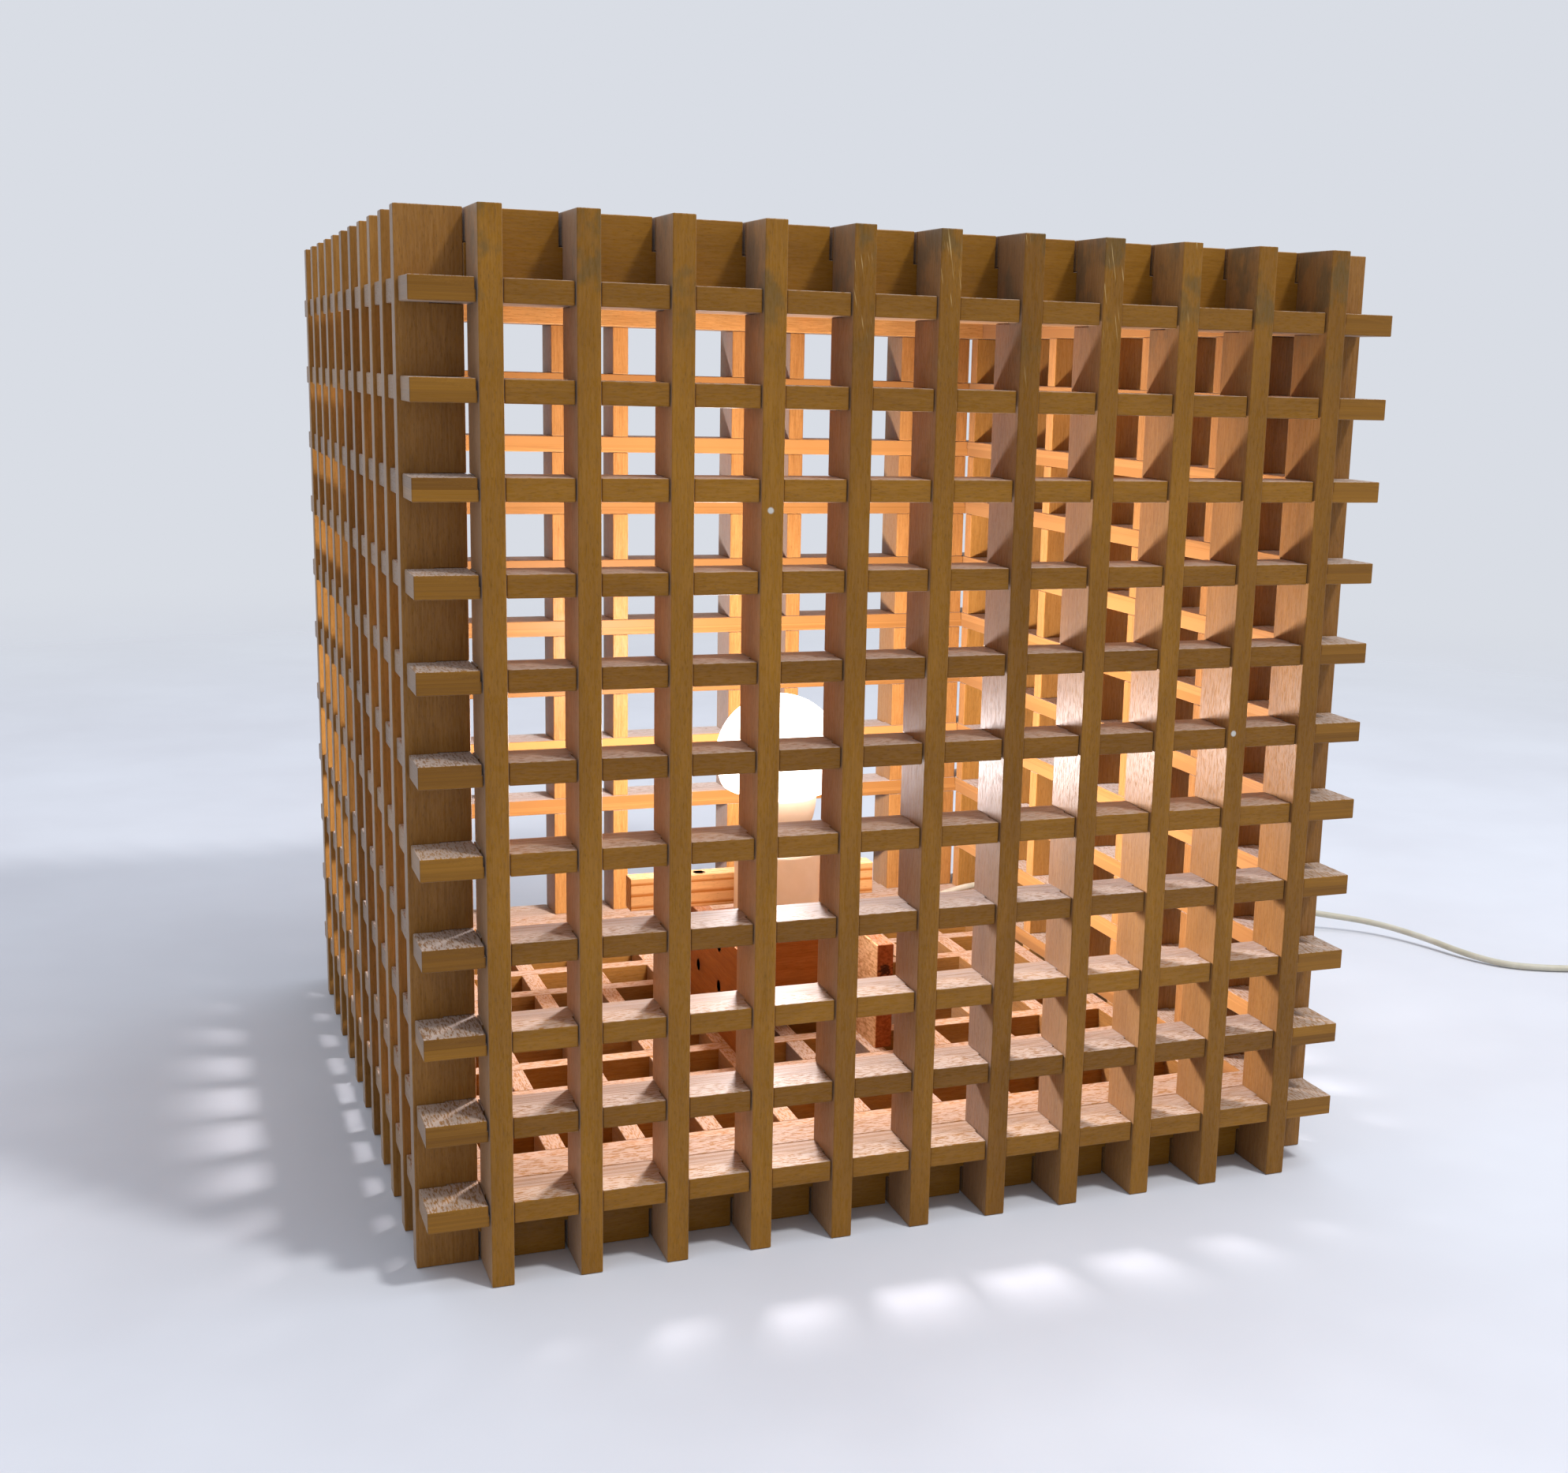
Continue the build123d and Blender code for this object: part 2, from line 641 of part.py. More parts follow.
with BuildPart() as cord_run:
    with BuildLine() as run_line:
        cord_path(CORD_POINTS)
    with BuildSketch(Plane(origin=run_line.line @ 0, z_dir=run_line.line % 0)):
        Circle(CORD_DIAMETER / 2)
    sweep()
    run_volume = cord_run.part.volume
    add(cord_coil.part, mode=Mode.SUBTRACT)
write("cord_run", cord_run)

run_length = run_line.wire().length
tube_volume = run_length * math.pi * CORD_DIAMETER**2 / 4
print("cord run:", round(run_length), "mm, volume ratio:", round(run_volume / tube_volume, 4))

with BuildPart() as cord_tail:
    with BuildLine() as tail_line:
        cord_path(TAIL_POINTS)
    with BuildSketch(Plane(origin=tail_line.line @ 0, z_dir=tail_line.line % 0)):
        Circle(CORD_DIAMETER / 2)
    sweep()
    add(cord_coil.part, mode=Mode.SUBTRACT)
write("cord_tail", cord_tail)

# A twist tie round the coil, on the side away from the plug
with BuildPart() as cord_tie:
    with BuildSketch(coil_plane.offset(-TIE_WIDTH / 2)):
        with Locations((-COIL_RADIUS, COIL_HEIGHT / 2)):
            RectangleRounded(
                COIL_WIDTH + 2 * (TIE_AIR + TIE_THICKNESS),
                COIL_HEIGHT + 2 * (TIE_AIR + TIE_THICKNESS),
                COIL_ROUND + TIE_AIR + TIE_THICKNESS,
            )
            RectangleRounded(
                COIL_WIDTH + 2 * TIE_AIR,
                COIL_HEIGHT + 2 * TIE_AIR,
                COIL_ROUND + TIE_AIR,
                mode=Mode.SUBTRACT,
            )
    extrude(amount=TIE_WIDTH)
write("cord_tie", cord_tie)

# ---------------------------------------------------------------- the plug

# A moulded two-pin plug lying flat, its tapered neck towards the coil
plug_start = TAIL_POINTS[-1]
neck_plane = Plane(origin=plug_start, x_dir=(1, 0, 0), z_dir=(0, -1, 0))

with BuildPart() as plug_body:
    with BuildSketch(neck_plane):
        Circle(PLUG_NECK_TIP)
    with BuildSketch(neck_plane.offset(PLUG_NECK_LENGTH)):
        Circle(PLUG_NECK_RADIUS)
    loft()
    with BuildSketch(neck_plane.offset(PLUG_NECK_LENGTH)):
        RectangleRounded(PLUG_NECK_WIDTH, PLUG_HEIGHT - 2 * PLUG_TAPER, PLUG_ROUND)
    with BuildSketch(neck_plane.offset(PLUG_NECK_LENGTH + PLUG_SHOULDER)):
        RectangleRounded(PLUG_WIDTH, PLUG_HEIGHT, PLUG_ROUND)
    loft()
    with BuildSketch(neck_plane.offset(PLUG_NECK_LENGTH + PLUG_SHOULDER)):
        RectangleRounded(PLUG_WIDTH, PLUG_HEIGHT, PLUG_ROUND)
    extrude(amount=PLUG_LENGTH - PLUG_SHOULDER)
    face_plane = neck_plane.offset(PLUG_NECK_LENGTH + PLUG_LENGTH)
    with Locations(face_plane):
        with GridLocations(PIN_SPACING, 0, 2, 1):
            Hole(PIN_RADIUS, PIN_INSERT)
write("plug_body", plug_body)

with BuildPart() as plug_pins:
    with BuildSketch(face_plane.offset(-PIN_INSERT)):
        with GridLocations(PIN_SPACING, 0, 2, 1):
            Circle(PIN_RADIUS)
    extrude(amount=PIN_INSERT + PIN_LENGTH)
    tips = plug_pins.edges().filter_by(GeomType.CIRCLE).group_by(Axis.Y)[0]
    chamfer(tips, PIN_CHAMFER)
write("plug_pins", plug_pins)
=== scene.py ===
"""Floor lamp of half-lapped slats: eased edges, finishes, lit bulb and cord on the fixed frame.

Everything is in metres.  X runs along the front, -Y is the front and +Z is up.
"""
import math

import bmesh
import bpy
from mathutils import Euler, Matrix, Vector


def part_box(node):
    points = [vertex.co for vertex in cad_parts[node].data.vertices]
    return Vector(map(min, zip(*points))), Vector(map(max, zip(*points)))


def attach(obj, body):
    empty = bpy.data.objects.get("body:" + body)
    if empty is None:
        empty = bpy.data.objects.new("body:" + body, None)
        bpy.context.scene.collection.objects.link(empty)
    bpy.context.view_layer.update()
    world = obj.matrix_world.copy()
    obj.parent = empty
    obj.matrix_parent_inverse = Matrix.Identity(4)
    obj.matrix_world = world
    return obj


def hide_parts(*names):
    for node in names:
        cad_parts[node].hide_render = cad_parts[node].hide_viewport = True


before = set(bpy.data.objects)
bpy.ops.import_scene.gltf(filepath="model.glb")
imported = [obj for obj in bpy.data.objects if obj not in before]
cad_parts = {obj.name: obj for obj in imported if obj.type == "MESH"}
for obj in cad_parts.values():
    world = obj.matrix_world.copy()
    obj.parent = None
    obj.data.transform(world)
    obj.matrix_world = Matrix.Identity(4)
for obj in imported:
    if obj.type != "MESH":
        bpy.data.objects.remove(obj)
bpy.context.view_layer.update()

MM = 0.001
X, Y, Z = Vector((1, 0, 0)), Vector((0, 1, 0)), Vector((0, 0, 1))

# ---------------------------------------------------------------- sizes of the timber

SLAT_THICKNESS = 10.0 * MM
SLAT_DEPTH = 28.0 * MM
COLUMNS = 11
COLUMN_PITCH = 40.0 * MM
ROWS = 11
ROW_PITCH = 39.75 * MM
LONG_SLATS = 9
RAIL_RECESS = 1.5 * MM  # rails stand back from the faces of the uprights
RAIL_NOTCH_PLAY = 0.5 * MM
NOTCH_PLAY = 0.1 * MM
BOARD_SLOT = 12.8 * MM  # width of a slot in a board
BOARD_SLOT_DEPTH = 14.3 * MM
EASED_EDGE = 0.45 * MM


def middle(node_name):
    """Middle of a CAD node's box."""
    low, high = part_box(node_name)
    return (Vector(low) + Vector(high)) / 2


front_low, front_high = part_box("front_uprights")
board_low, board_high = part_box("bottom_front_board")
cube_height = front_high[2]
outer_face = -front_low[1]
inner_face = -front_high[1]
rail_face = outer_face - RAIL_RECESS
board_face = -board_high[1]
board_height = board_high[2] - board_low[2]
half_lap = SLAT_DEPTH / 2
last_column = COLUMN_PITCH * (COLUMNS - 1) / 2
last_long = COLUMN_PITCH * (LONG_SLATS - 1) / 2
last_row = ROW_PITCH * (ROWS - 1) / 2
grid_edge = last_column + SLAT_THICKNESS / 2
notch_width = SLAT_THICKNESS + 2 * NOTCH_PLAY
rail_notch_width = SLAT_THICKNESS + 2 * RAIL_NOTCH_PLAY
first_row = cube_height / 2 - last_row
corner_start = last_column + rail_notch_width / 2
end_lap = inner_face - board_face + NOTCH_PLAY
board_end_lap = inner_face - last_column + BOARD_SLOT / 2

# ---------------------------------------------------------------- node helpers


def linear(hex_colour):
    """sRGB hex text to linear RGBA."""
    values = [int(hex_colour[i:i + 2], 16) / 255 for i in (1, 3, 5)]
    return [v / 12.92 if v <= 0.04045 else ((v + 0.055) / 1.055) ** 2.4 for v in values] + [1.0]


def node(tree, kind, settings=None, links=None):
    """Add a node; settings name attributes or input sockets, links name input sockets."""
    made = tree.nodes.new(kind)
    for name, value in (settings or {}).items():
        if isinstance(name, str) and hasattr(made, name):
            setattr(made, name, value)
        else:
            made.inputs[name].default_value = value
    for name, source in (links or {}).items():
        tree.links.new(source, made.inputs[name])
    return made


def ramp(tree, factor, *stops):
    """Colour ramp through (place, hex) stops."""
    made = node(tree, "ShaderNodeValToRGB", {}, {"Fac": factor})
    elements = made.color_ramp.elements
    while len(elements) < len(stops):
        elements.new(0.5)
    for element, (place, colour) in zip(elements, stops):
        element.position = place
        element.color = linear(colour)
    return made.outputs["Color"]


def fade(tree, value, start, end):
    """0 at start and 1 at end, smoothly."""
    settings = {"interpolation_type": "SMOOTHSTEP", "From Min": start, "From Max": end}
    return node(tree, "ShaderNodeMapRange", settings, {"Value": value}).outputs["Result"]


def blend(tree, factor, first, second, kind="MIX"):
    """Mix two colours; first and second are sockets or hex text, factor a socket or a number."""
    made = node(tree, "ShaderNodeMix", {"data_type": "RGBA", "blend_type": kind})
    for socket, value in ((0, factor), (6, first), (7, second)):
        if isinstance(value, str):
            made.inputs[socket].default_value = linear(value)
        elif isinstance(value, (int, float)):
            made.inputs[socket].default_value = value
        else:
            tree.links.new(value, made.inputs[socket])
    return made.outputs[2]


def maths(tree, operation, first, second):
    """Math node on sockets or numbers."""
    made = node(tree, "ShaderNodeMath", {"operation": operation})
    for socket, value in enumerate((first, second)):
        if isinstance(value, (int, float)):
            made.inputs[socket].default_value = value
        else:
            tree.links.new(value, made.inputs[socket])
    return made.outputs["Value"]


def times(tree, first, second):
    """Product of two sockets or numbers."""
    return maths(tree, "MULTIPLY", first, second)


def apart(tree, vector, spot):
    """Distance of a position from a fixed spot."""
    away = node(tree, "ShaderNodeVectorMath", {"operation": "DISTANCE"}, {0: vector})
    away.inputs[1].default_value = spot
    return away.outputs["Value"]


def speckle(tree, vector, scale, detail=3.0, rough=0.55):
    """Noise whose three scales are one over its size in metres along X, Y and Z."""
    sized = node(tree, "ShaderNodeVectorMath", {"operation": "MULTIPLY"}, {0: vector})
    sized.inputs[1].default_value = scale
    settings = {"Scale": 1.0, "Detail": detail, "Roughness": rough}
    return node(tree, "ShaderNodeTexNoise", settings, {"Vector": sized.outputs[0]}).outputs["Fac"]


def material(name, **sockets):
    """New material and the values that are the same all over its surface."""
    made = bpy.data.materials.new(name)
    made.use_nodes = True
    shader = made.node_tree.nodes["Principled BSDF"]
    for socket, value in sockets.items():
        shader.inputs[socket.replace("_", " ")].default_value = value
    return made, made.node_tree, shader


# ---------------------------------------------------------------- finishes

PORE = "#4A3014"
END_GRAIN = "#5E431F"
DUST_AND_SHEEN = "#DACFC8"
STAIN = "#54482A"
BARE_SCRATCH = "#C4A670"
KNOT = "#28140A"
PAINT = "#C9CAC4"
PAINT_SPECKS = ((-0.081, -0.234, 0.3435), (0.158, -0.234, 0.235))  # places on the front


def timber(name, pale, deep, outer_shade, worn, ring_pitch, ring_share, late_wood, gloss,
           haze=0.0, dust_and_sheen=0.2):
    """Planed wood whose fibres, pores and growth rings run through the solid along each piece.

    pale and deep are the two ends of the grain, outer_shade the colour painted as shade on the
    faces that look outwards, worn that of rubbed edges.  ring_pitch is in metres; ring_share is
    how much of the figure the rings make and late_wood the dark share of each ring, both 0 to 1.
    gloss is how strong the varnish shines, haze the pale bloom that old varnish shows at a low
    angle, and dust_and_sheen how much dust and painted sheen lies on faces that look up.
    """
    made, tree, shader = material(name, Specular_IOR_Level=0.06, Coat_Roughness=0.38,
                                  Sheen_Weight=haze, Sheen_Roughness=0.4)
    grain = node(tree, "ShaderNodeAttribute", {"attribute_name": "grain"}).outputs["Vector"]
    flags = {}
    for flag in ("tone", "end", "edge", "outside"):
        flags[flag] = node(tree, "ShaderNodeAttribute", {"attribute_name": flag}).outputs["Fac"]

    # Fibres about 0.9 mm wide and 12 mm long, pores 0.4 mm by 3 mm, blotches 15 mm by 80 mm
    fibres = speckle(tree, grain, (80, 1100, 1100), 4.0, 0.6)
    pores = speckle(tree, grain, (330, 2500, 2500), 2.0, 0.5)
    blotches = speckle(tree, grain, (12, 65, 65), 3.0, 0.5)

    # Growth rings round a pith that lies beside the piece, stretched along it
    bent = node(tree, "ShaderNodeMapping", {"Location": (0, 0.047, 0.031)}, {"Vector": grain})
    bent.inputs["Scale"].default_value = (0.06, 1, 1)
    rings = node(
        tree,
        "ShaderNodeTexWave",
        {"wave_type": "RINGS", "rings_direction": "X", "wave_profile": "SAW",
         "Scale": math.pi / 10 / ring_pitch, "Distortion": 2.5, "Detail": 2.0,
         "Detail Scale": 0.6},
        {"Vector": bent.outputs["Vector"]},
    ).outputs["Fac"]

    rings = fade(tree, rings, 0.0, late_wood)
    figure = node(tree, "ShaderNodeMix", {"Factor": ring_share}, {"A": fibres, "B": rings})
    colour = ramp(tree, figure.outputs[0], (0.25, deep), (0.75, pale))
    # Painted shade: faces that look outwards are darker olive and inner faces paler, as only the
    # inside is lit by the bulb
    colour = blend(tree, times(tree, flags["outside"], 0.85), colour, outer_shade)
    colour = blend(tree, 0.45, colour, ramp(tree, blotches, (0.3, "#B8B0A8"), (0.7, "#FFFFFF")),
                   "MULTIPLY")
    colour = blend(tree, times(tree, fade(tree, pores, 0.42, 0.3), 0.3), colour, PORE)
    colour = blend(tree, 0.22, colour,
                   ramp(tree, fibres, (0.3, "#A4A09A"), (0.7, "#FFFFFF")), "MULTIPLY")
    toned = ramp(tree, flags["tone"], (0.0, "#D2CCC4"), (1.0, "#FFFFFF"))
    colour = blend(tree, 1.0, colour, toned, "MULTIPLY")
    colour = blend(tree, times(tree, flags["end"], 0.4), colour, END_GRAIN)

    # Rubbed edges: pale where the varnish has gone, in patches 10 to 20 mm long
    rubbed = fade(tree, speckle(tree, grain, (90, 300, 300), 3.0), 0.45, 0.62)
    colour = blend(tree, times(tree, rubbed, flags["edge"]), colour, worn)

    # Dust and a painted pale sheen on faces that look up, between open pores 0.8 mm wide and 4 mm
    # long
    closed = fade(tree, speckle(tree, grain, (250, 1250, 1250), 3.0, 0.6), 0.4, 0.52)
    facing = node(tree, "ShaderNodeNewGeometry").outputs["Normal"]
    height = node(tree, "ShaderNodeSeparateXYZ", {}, {"Vector": facing}).outputs["Z"]
    upward = fade(tree, height, 0.6, 0.95)
    dust_and_sheen_mask = times(tree, upward, closed)
    colour = blend(tree, times(tree, dust_and_sheen_mask, dust_and_sheen), colour, DUST_AND_SHEEN)
    tree.links.new(colour, shader.inputs["Base Color"])

    rough = node(tree, "ShaderNodeMapRange", {"To Min": 0.48, "To Max": 0.7}, {"Value": fibres})
    tree.links.new(rough.outputs["Result"], shader.inputs["Roughness"])
    # The pores break the varnish and the dust dulls it
    skin = node(tree, "ShaderNodeMapRange", {"To Min": gloss * 0.3, "To Max": gloss * 1.2},
                {"Value": closed})
    clear = node(tree, "ShaderNodeMapRange", {"To Min": 1.0, "To Max": 0.25}, {"Value": upward})
    tree.links.new(times(tree, skin.outputs["Result"], clear.outputs["Result"]),
                   shader.inputs["Coat Weight"])
    relief = node(tree, "ShaderNodeBump", {"Strength": 0.35, "Distance": 0.12 * MM},
                  {"Height": fibres})
    tree.links.new(relief.outputs["Normal"], shader.inputs["Normal"])
    tree.links.new(relief.outputs["Normal"], shader.inputs["Coat Normal"])
    return made, tree, shader, colour


def scratched(tree, shader, colour):
    """Scratches, soiled tops and two specks of paint on the front uprights."""
    place = node(tree, "ShaderNodeTexCoord").outputs["Object"]
    along = node(tree, "ShaderNodeSeparateXYZ", {}, {"Vector": place}).outputs
    front = fade(tree, along["Y"], 1.5 * MM - outer_face, 0.1 * MM - outer_face)

    # Grey-green stains that handling has left on the tops, 10 to 30 mm across
    stains = fade(tree, speckle(tree, place, (50, 50, 40), 4.0, 0.6), 0.46, 0.62)
    soiled = fade(tree, along["Z"], cube_height - 70 * MM, cube_height - 28 * MM)
    colour = blend(tree, times(tree, times(tree, stains, soiled), 0.55), colour, STAIN)

    # Scratches 0.8 mm wide and 15 to 30 mm long, in patches at the top of the middle uprights
    slanted = node(tree, "ShaderNodeMapping", {"Rotation": (0, 0.16, 0)}, {"Vector": place})
    lines = speckle(tree, slanted.outputs["Vector"], (1300, 1300, 45), 2.0, 0.5)
    patches = speckle(tree, place, (45, 45, 30), 2.0, 0.5)
    high_up = fade(tree, along["Z"], cube_height - 95 * MM, cube_height - 35 * MM)
    zone = times(tree, high_up, front)
    zone = times(tree, zone, fade(tree, along["X"], -90 * MM, -30 * MM))
    zone = times(tree, zone, fade(tree, along["X"], 170 * MM, 110 * MM))
    marks = times(tree, fade(tree, lines, 0.62, 0.7), fade(tree, patches, 0.47, 0.6))
    marks = times(tree, marks, 0.75)
    colour = blend(tree, times(tree, zone, marks), colour, BARE_SCRATCH)

    # Ragged specks of paint, 3 mm across
    for spot in PAINT_SPECKS:
        ragged = maths(tree, "ADD", apart(tree, place, spot), times(tree, patches, 6 * MM))
        speck = fade(tree, ragged, 5.0 * MM, 4.2 * MM)
        colour = blend(tree, times(tree, speck, 0.8), colour, PAINT)
    tree.links.new(colour, shader.inputs["Base Color"])


def knotted(tree, shader, colour):
    """The right stand board's coarsely sawn inner side, painted pale as lit by the bulb, its
    front end, darker as end grain and painted shade, and its knot.
    """
    low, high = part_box("stand_right_board")
    place = node(tree, "ShaderNodeTexCoord").outputs["Object"]
    along = node(tree, "ShaderNodeSeparateXYZ", {}, {"Vector": place}).outputs

    # Torn fibres 1.4 mm across and 4 mm long
    torn = speckle(tree, place, (700, 250, 900), 3.0)
    # Painted light: the inner side, which faces the bulb, is painted pale
    bulb_lit_side = times(tree, fade(tree, along["X"], low[0] + 0.9 * MM, low[0] + 0.5 * MM),
                  fade(tree, along["X"], low[0] - 0.4 * MM, low[0] - 0.2 * MM))
    colour = blend(tree, times(tree, bulb_lit_side, 0.85), colour,
                   ramp(tree, torn, (0.35, "#B98854"), (0.6, "#EBC69A")))

    # End grain, darker still as painted shade where the bulb doesn't reach, and a knot about 9 mm
    # across in it
    end = times(tree, fade(tree, along["Y"], low[1] + 0.9 * MM, low[1] + 0.5 * MM),
                fade(tree, along["X"], low[0] + 0.2 * MM, low[0] + 0.6 * MM))
    colour = blend(tree, times(tree, end, 0.85), colour,
                   ramp(tree, torn, (0.35, "#77381A"), (0.6, "#94502A")))
    away = apart(tree, place, (high[0] - 5 * MM, low[1], high[2] - 15 * MM))
    ragged = maths(tree, "ADD", away, times(tree, torn, 8 * MM))
    colour = blend(tree, times(tree, fade(tree, ragged, 9 * MM, 6 * MM), 0.9), colour, KNOT)
    tree.links.new(colour, shader.inputs["Base Color"])


# Beech slats, varnished long ago: close, straight grain under a satin skin, painted as darker
# olive shade on the outer faces and left tan inside, where the bulb lights it, with dust and
# painted sheen on the tops
BEECH = dict(pale="#D09A5C", deep="#B47E42", outer_shade="#8F6000", worn="#C9AB72",
             ring_pitch=3.4 * MM, ring_share=0.12, late_wood=0.4, gloss=0.3,
             haze=0.3, dust_and_sheen=0.45)
beech, *_ = timber("Varnished beech", **BEECH)
marked_beech, *parts = timber("Varnished beech, scratched", **BEECH)
scratched(*parts)

# Offcuts of a redder hardwood with a dull, dark finish; one has painted bulb light on its sawn
# inner side and painted shade on its front end
redwood, *parts = timber("Stained hardwood", pale="#B8763A", deep="#9A5C22", outer_shade="#A3662A",
                         worn="#D9B98C", ring_pitch=5.5 * MM, ring_share=0.12, late_wood=0.6,
                         gloss=0.05)
knotted(*parts)

# Rough-sawn pine, unfinished: pale wood with hard orange lines 3 to 4 mm apart
pine, *_ = timber("Sawn pine", pale="#F2BE80", deep="#C67A34", outer_shade="#D09A5C",
                  worn="#ECC898", ring_pitch=3.4 * MM, ring_share=0.7, late_wood=0.45, gloss=0.0)


def moulded(name, colour, shade, rough, bump=0.02 * MM, scale=900, **sockets):
    """Moulded or sprayed finish: an even colour with a faint cloud and a fine skin."""
    made, tree, shader = material(name, **sockets)
    place = node(tree, "ShaderNodeTexCoord").outputs["Object"]
    cloud = speckle(tree, place, (60, 60, 60), 3.0)
    tree.links.new(ramp(tree, cloud, (0.3, shade), (0.7, colour)), shader.inputs["Base Color"])
    skin = speckle(tree, place, (scale, scale, scale), 2.0)
    span = node(tree, "ShaderNodeMapRange", {"To Min": rough - 0.06, "To Max": rough + 0.08},
                {"Value": skin})
    tree.links.new(span.outputs["Result"], shader.inputs["Roughness"])
    relief = node(tree, "ShaderNodeBump", {"Strength": 0.3, "Distance": bump}, {"Height": skin})
    tree.links.new(relief.outputs["Normal"], shader.inputs["Normal"])
    return made


# Moulded urea shell: smooth ivory, a little yellowed
ivory_shell = moulded("Ivory urea shell", "#F2E9DA", "#E9DEC9", 0.35, Coat_Weight=0.1)
# Glazed porcelain: cold white and very smooth
porcelain = moulded("Glazed porcelain", "#E9E6DD", "#DAD6CB", 0.15, Coat_Weight=0.5)
# Cord and plug in soft PVC: ivory, satin, slightly soiled
cord_pvc = moulded("Ivory PVC cord", "#CFCBBB", "#B9B49F", 0.45, scale=1500)
plug_pvc = moulded("Ivory PVC plug", "#D3CDBA", "#C2BBA4", 0.42, scale=1500)
# Twist tie: a thin white plastic ribbon with a wire in it
tie_ribbon = moulded("White tie ribbon", "#DCDCD6", "#C8C8C0", 0.5)
# Lamp housing in polycarbonate: warm white and even
housing_pc = moulded("White polycarbonate", "#E6DDCF", "#DAD0C0", 0.35)
# Glass insulator of the cap: nearly black
black_glass = moulded("Black insulator", "#1B1A1A", "#111010", 0.2)
# Solder blob: dull grey
solder = moulded("Solder", "#A7A9AB", "#8C8E90", 0.4, Metallic=1.0)
# Bright zinc-plated steel, brass and nickel plate: metals with fine rolling marks
zinc = moulded("Zinc-plated steel", "#B9B7B0", "#918E86", 0.38, Metallic=1.0)
brass = moulded("Rolled brass", "#C8A45C", "#A9843E", 0.3, Metallic=1.0)
nickel = moulded("Nickel plate", "#C3BFB6", "#A7A299", 0.25, Metallic=1.0)

# Opal globe, lit: a white diffuser bright enough to light the slats round it, a little warmer
# in its lowest 30 mm, where the housing shades it
opal, opal_tree, opal_shader = material("Opal globe, lit", Base_Color=linear("#F4F1EC"),
                                        Roughness=0.3, Emission_Strength=6.0)
opal_place = node(opal_tree, "ShaderNodeTexCoord").outputs["Object"]
opal_height = node(opal_tree, "ShaderNodeSeparateXYZ", {}, {"Vector": opal_place}).outputs["Z"]
opal_tree.links.new(
    ramp(opal_tree, fade(opal_tree, opal_height, 0.154, 0.185), (0.0, "#FFE6D2"),
         (1.0, "#FFF1E6")),
    opal_shader.inputs["Emission Color"],
)

# ---------------------------------------------------------------- making timber pieces


def add_piece(name, data):
    """Object at the origin, linked to the scene; a piece has its place in its mesh."""
    made = bpy.data.objects.new(name, data)
    bpy.context.scene.collection.objects.link(made)
    return made


def evaluated_mesh(piece):
    """Plain mesh of a piece with its modifiers applied; the piece itself goes."""
    bpy.context.view_layer.update()
    ready = piece.evaluated_get(bpy.context.evaluated_depsgraph_get())
    mesh = bpy.data.meshes.new_from_object(ready)
    bpy.data.objects.remove(piece)
    return mesh


def notched_outline(length, depth, places, width, cut, lap=0.0):
    """Outline of a slat from the side: notches, and laps at its ends, in its far edge."""
    half = length / 2
    far = []
    for place in places:
        near, away = place - width / 2, place + width / 2
        far += [(near, depth), (near, depth - cut), (away, depth - cut), (away, depth)]
    left = [(-half, depth - cut), (lap - half, depth - cut), (lap - half, depth)]
    left = left if lap else [(-half, depth)]
    right = [(-x, y) for x, y in reversed(left)]
    return [(-half, 0), *left, *far, *right, (half, 0)]


def evenly(count, pitch):
    """Places at an even pitch round zero."""
    return [pitch * (i - (count - 1) / 2) for i in range(count)]


def prism(outline, low, high):
    """Closed prism over an outline between two levels."""
    made = bmesh.new()
    lower = [made.verts.new((x, y, low)) for x, y in outline]
    upper = [made.verts.new((x, y, high)) for x, y in outline]
    made.faces.new(lower)
    made.faces.new(upper)
    for i in range(len(outline)):
        made.faces.new((lower[i - 1], lower[i], upper[i], upper[i - 1]))
    bmesh.ops.recalc_face_normals(made, faces=made.faces)
    if made.calc_volume(signed=True) < 0:
        bmesh.ops.reverse_faces(made, faces=made.faces)
    return made


def cut_away(piece, *cutters):
    """Take closed bmeshes away from a piece."""
    shapes = []
    for cutter in cutters:
        mesh = bpy.data.meshes.new("cutter")
        cutter.to_mesh(mesh)
        cutter.free()
        shapes.append(add_piece("cutter", mesh))
        cutting = piece.modifiers.new("cut", "BOOLEAN")
        cutting.operation = "DIFFERENCE"
        cutting.solver = "EXACT"
        cutting.object = shapes[-1]
    made = add_piece(piece.name, evaluated_mesh(piece))
    for shape in shapes:
        bpy.data.objects.remove(shape)
    return made


SHARP = 0.5  # radians between two faces past which their edge is eased


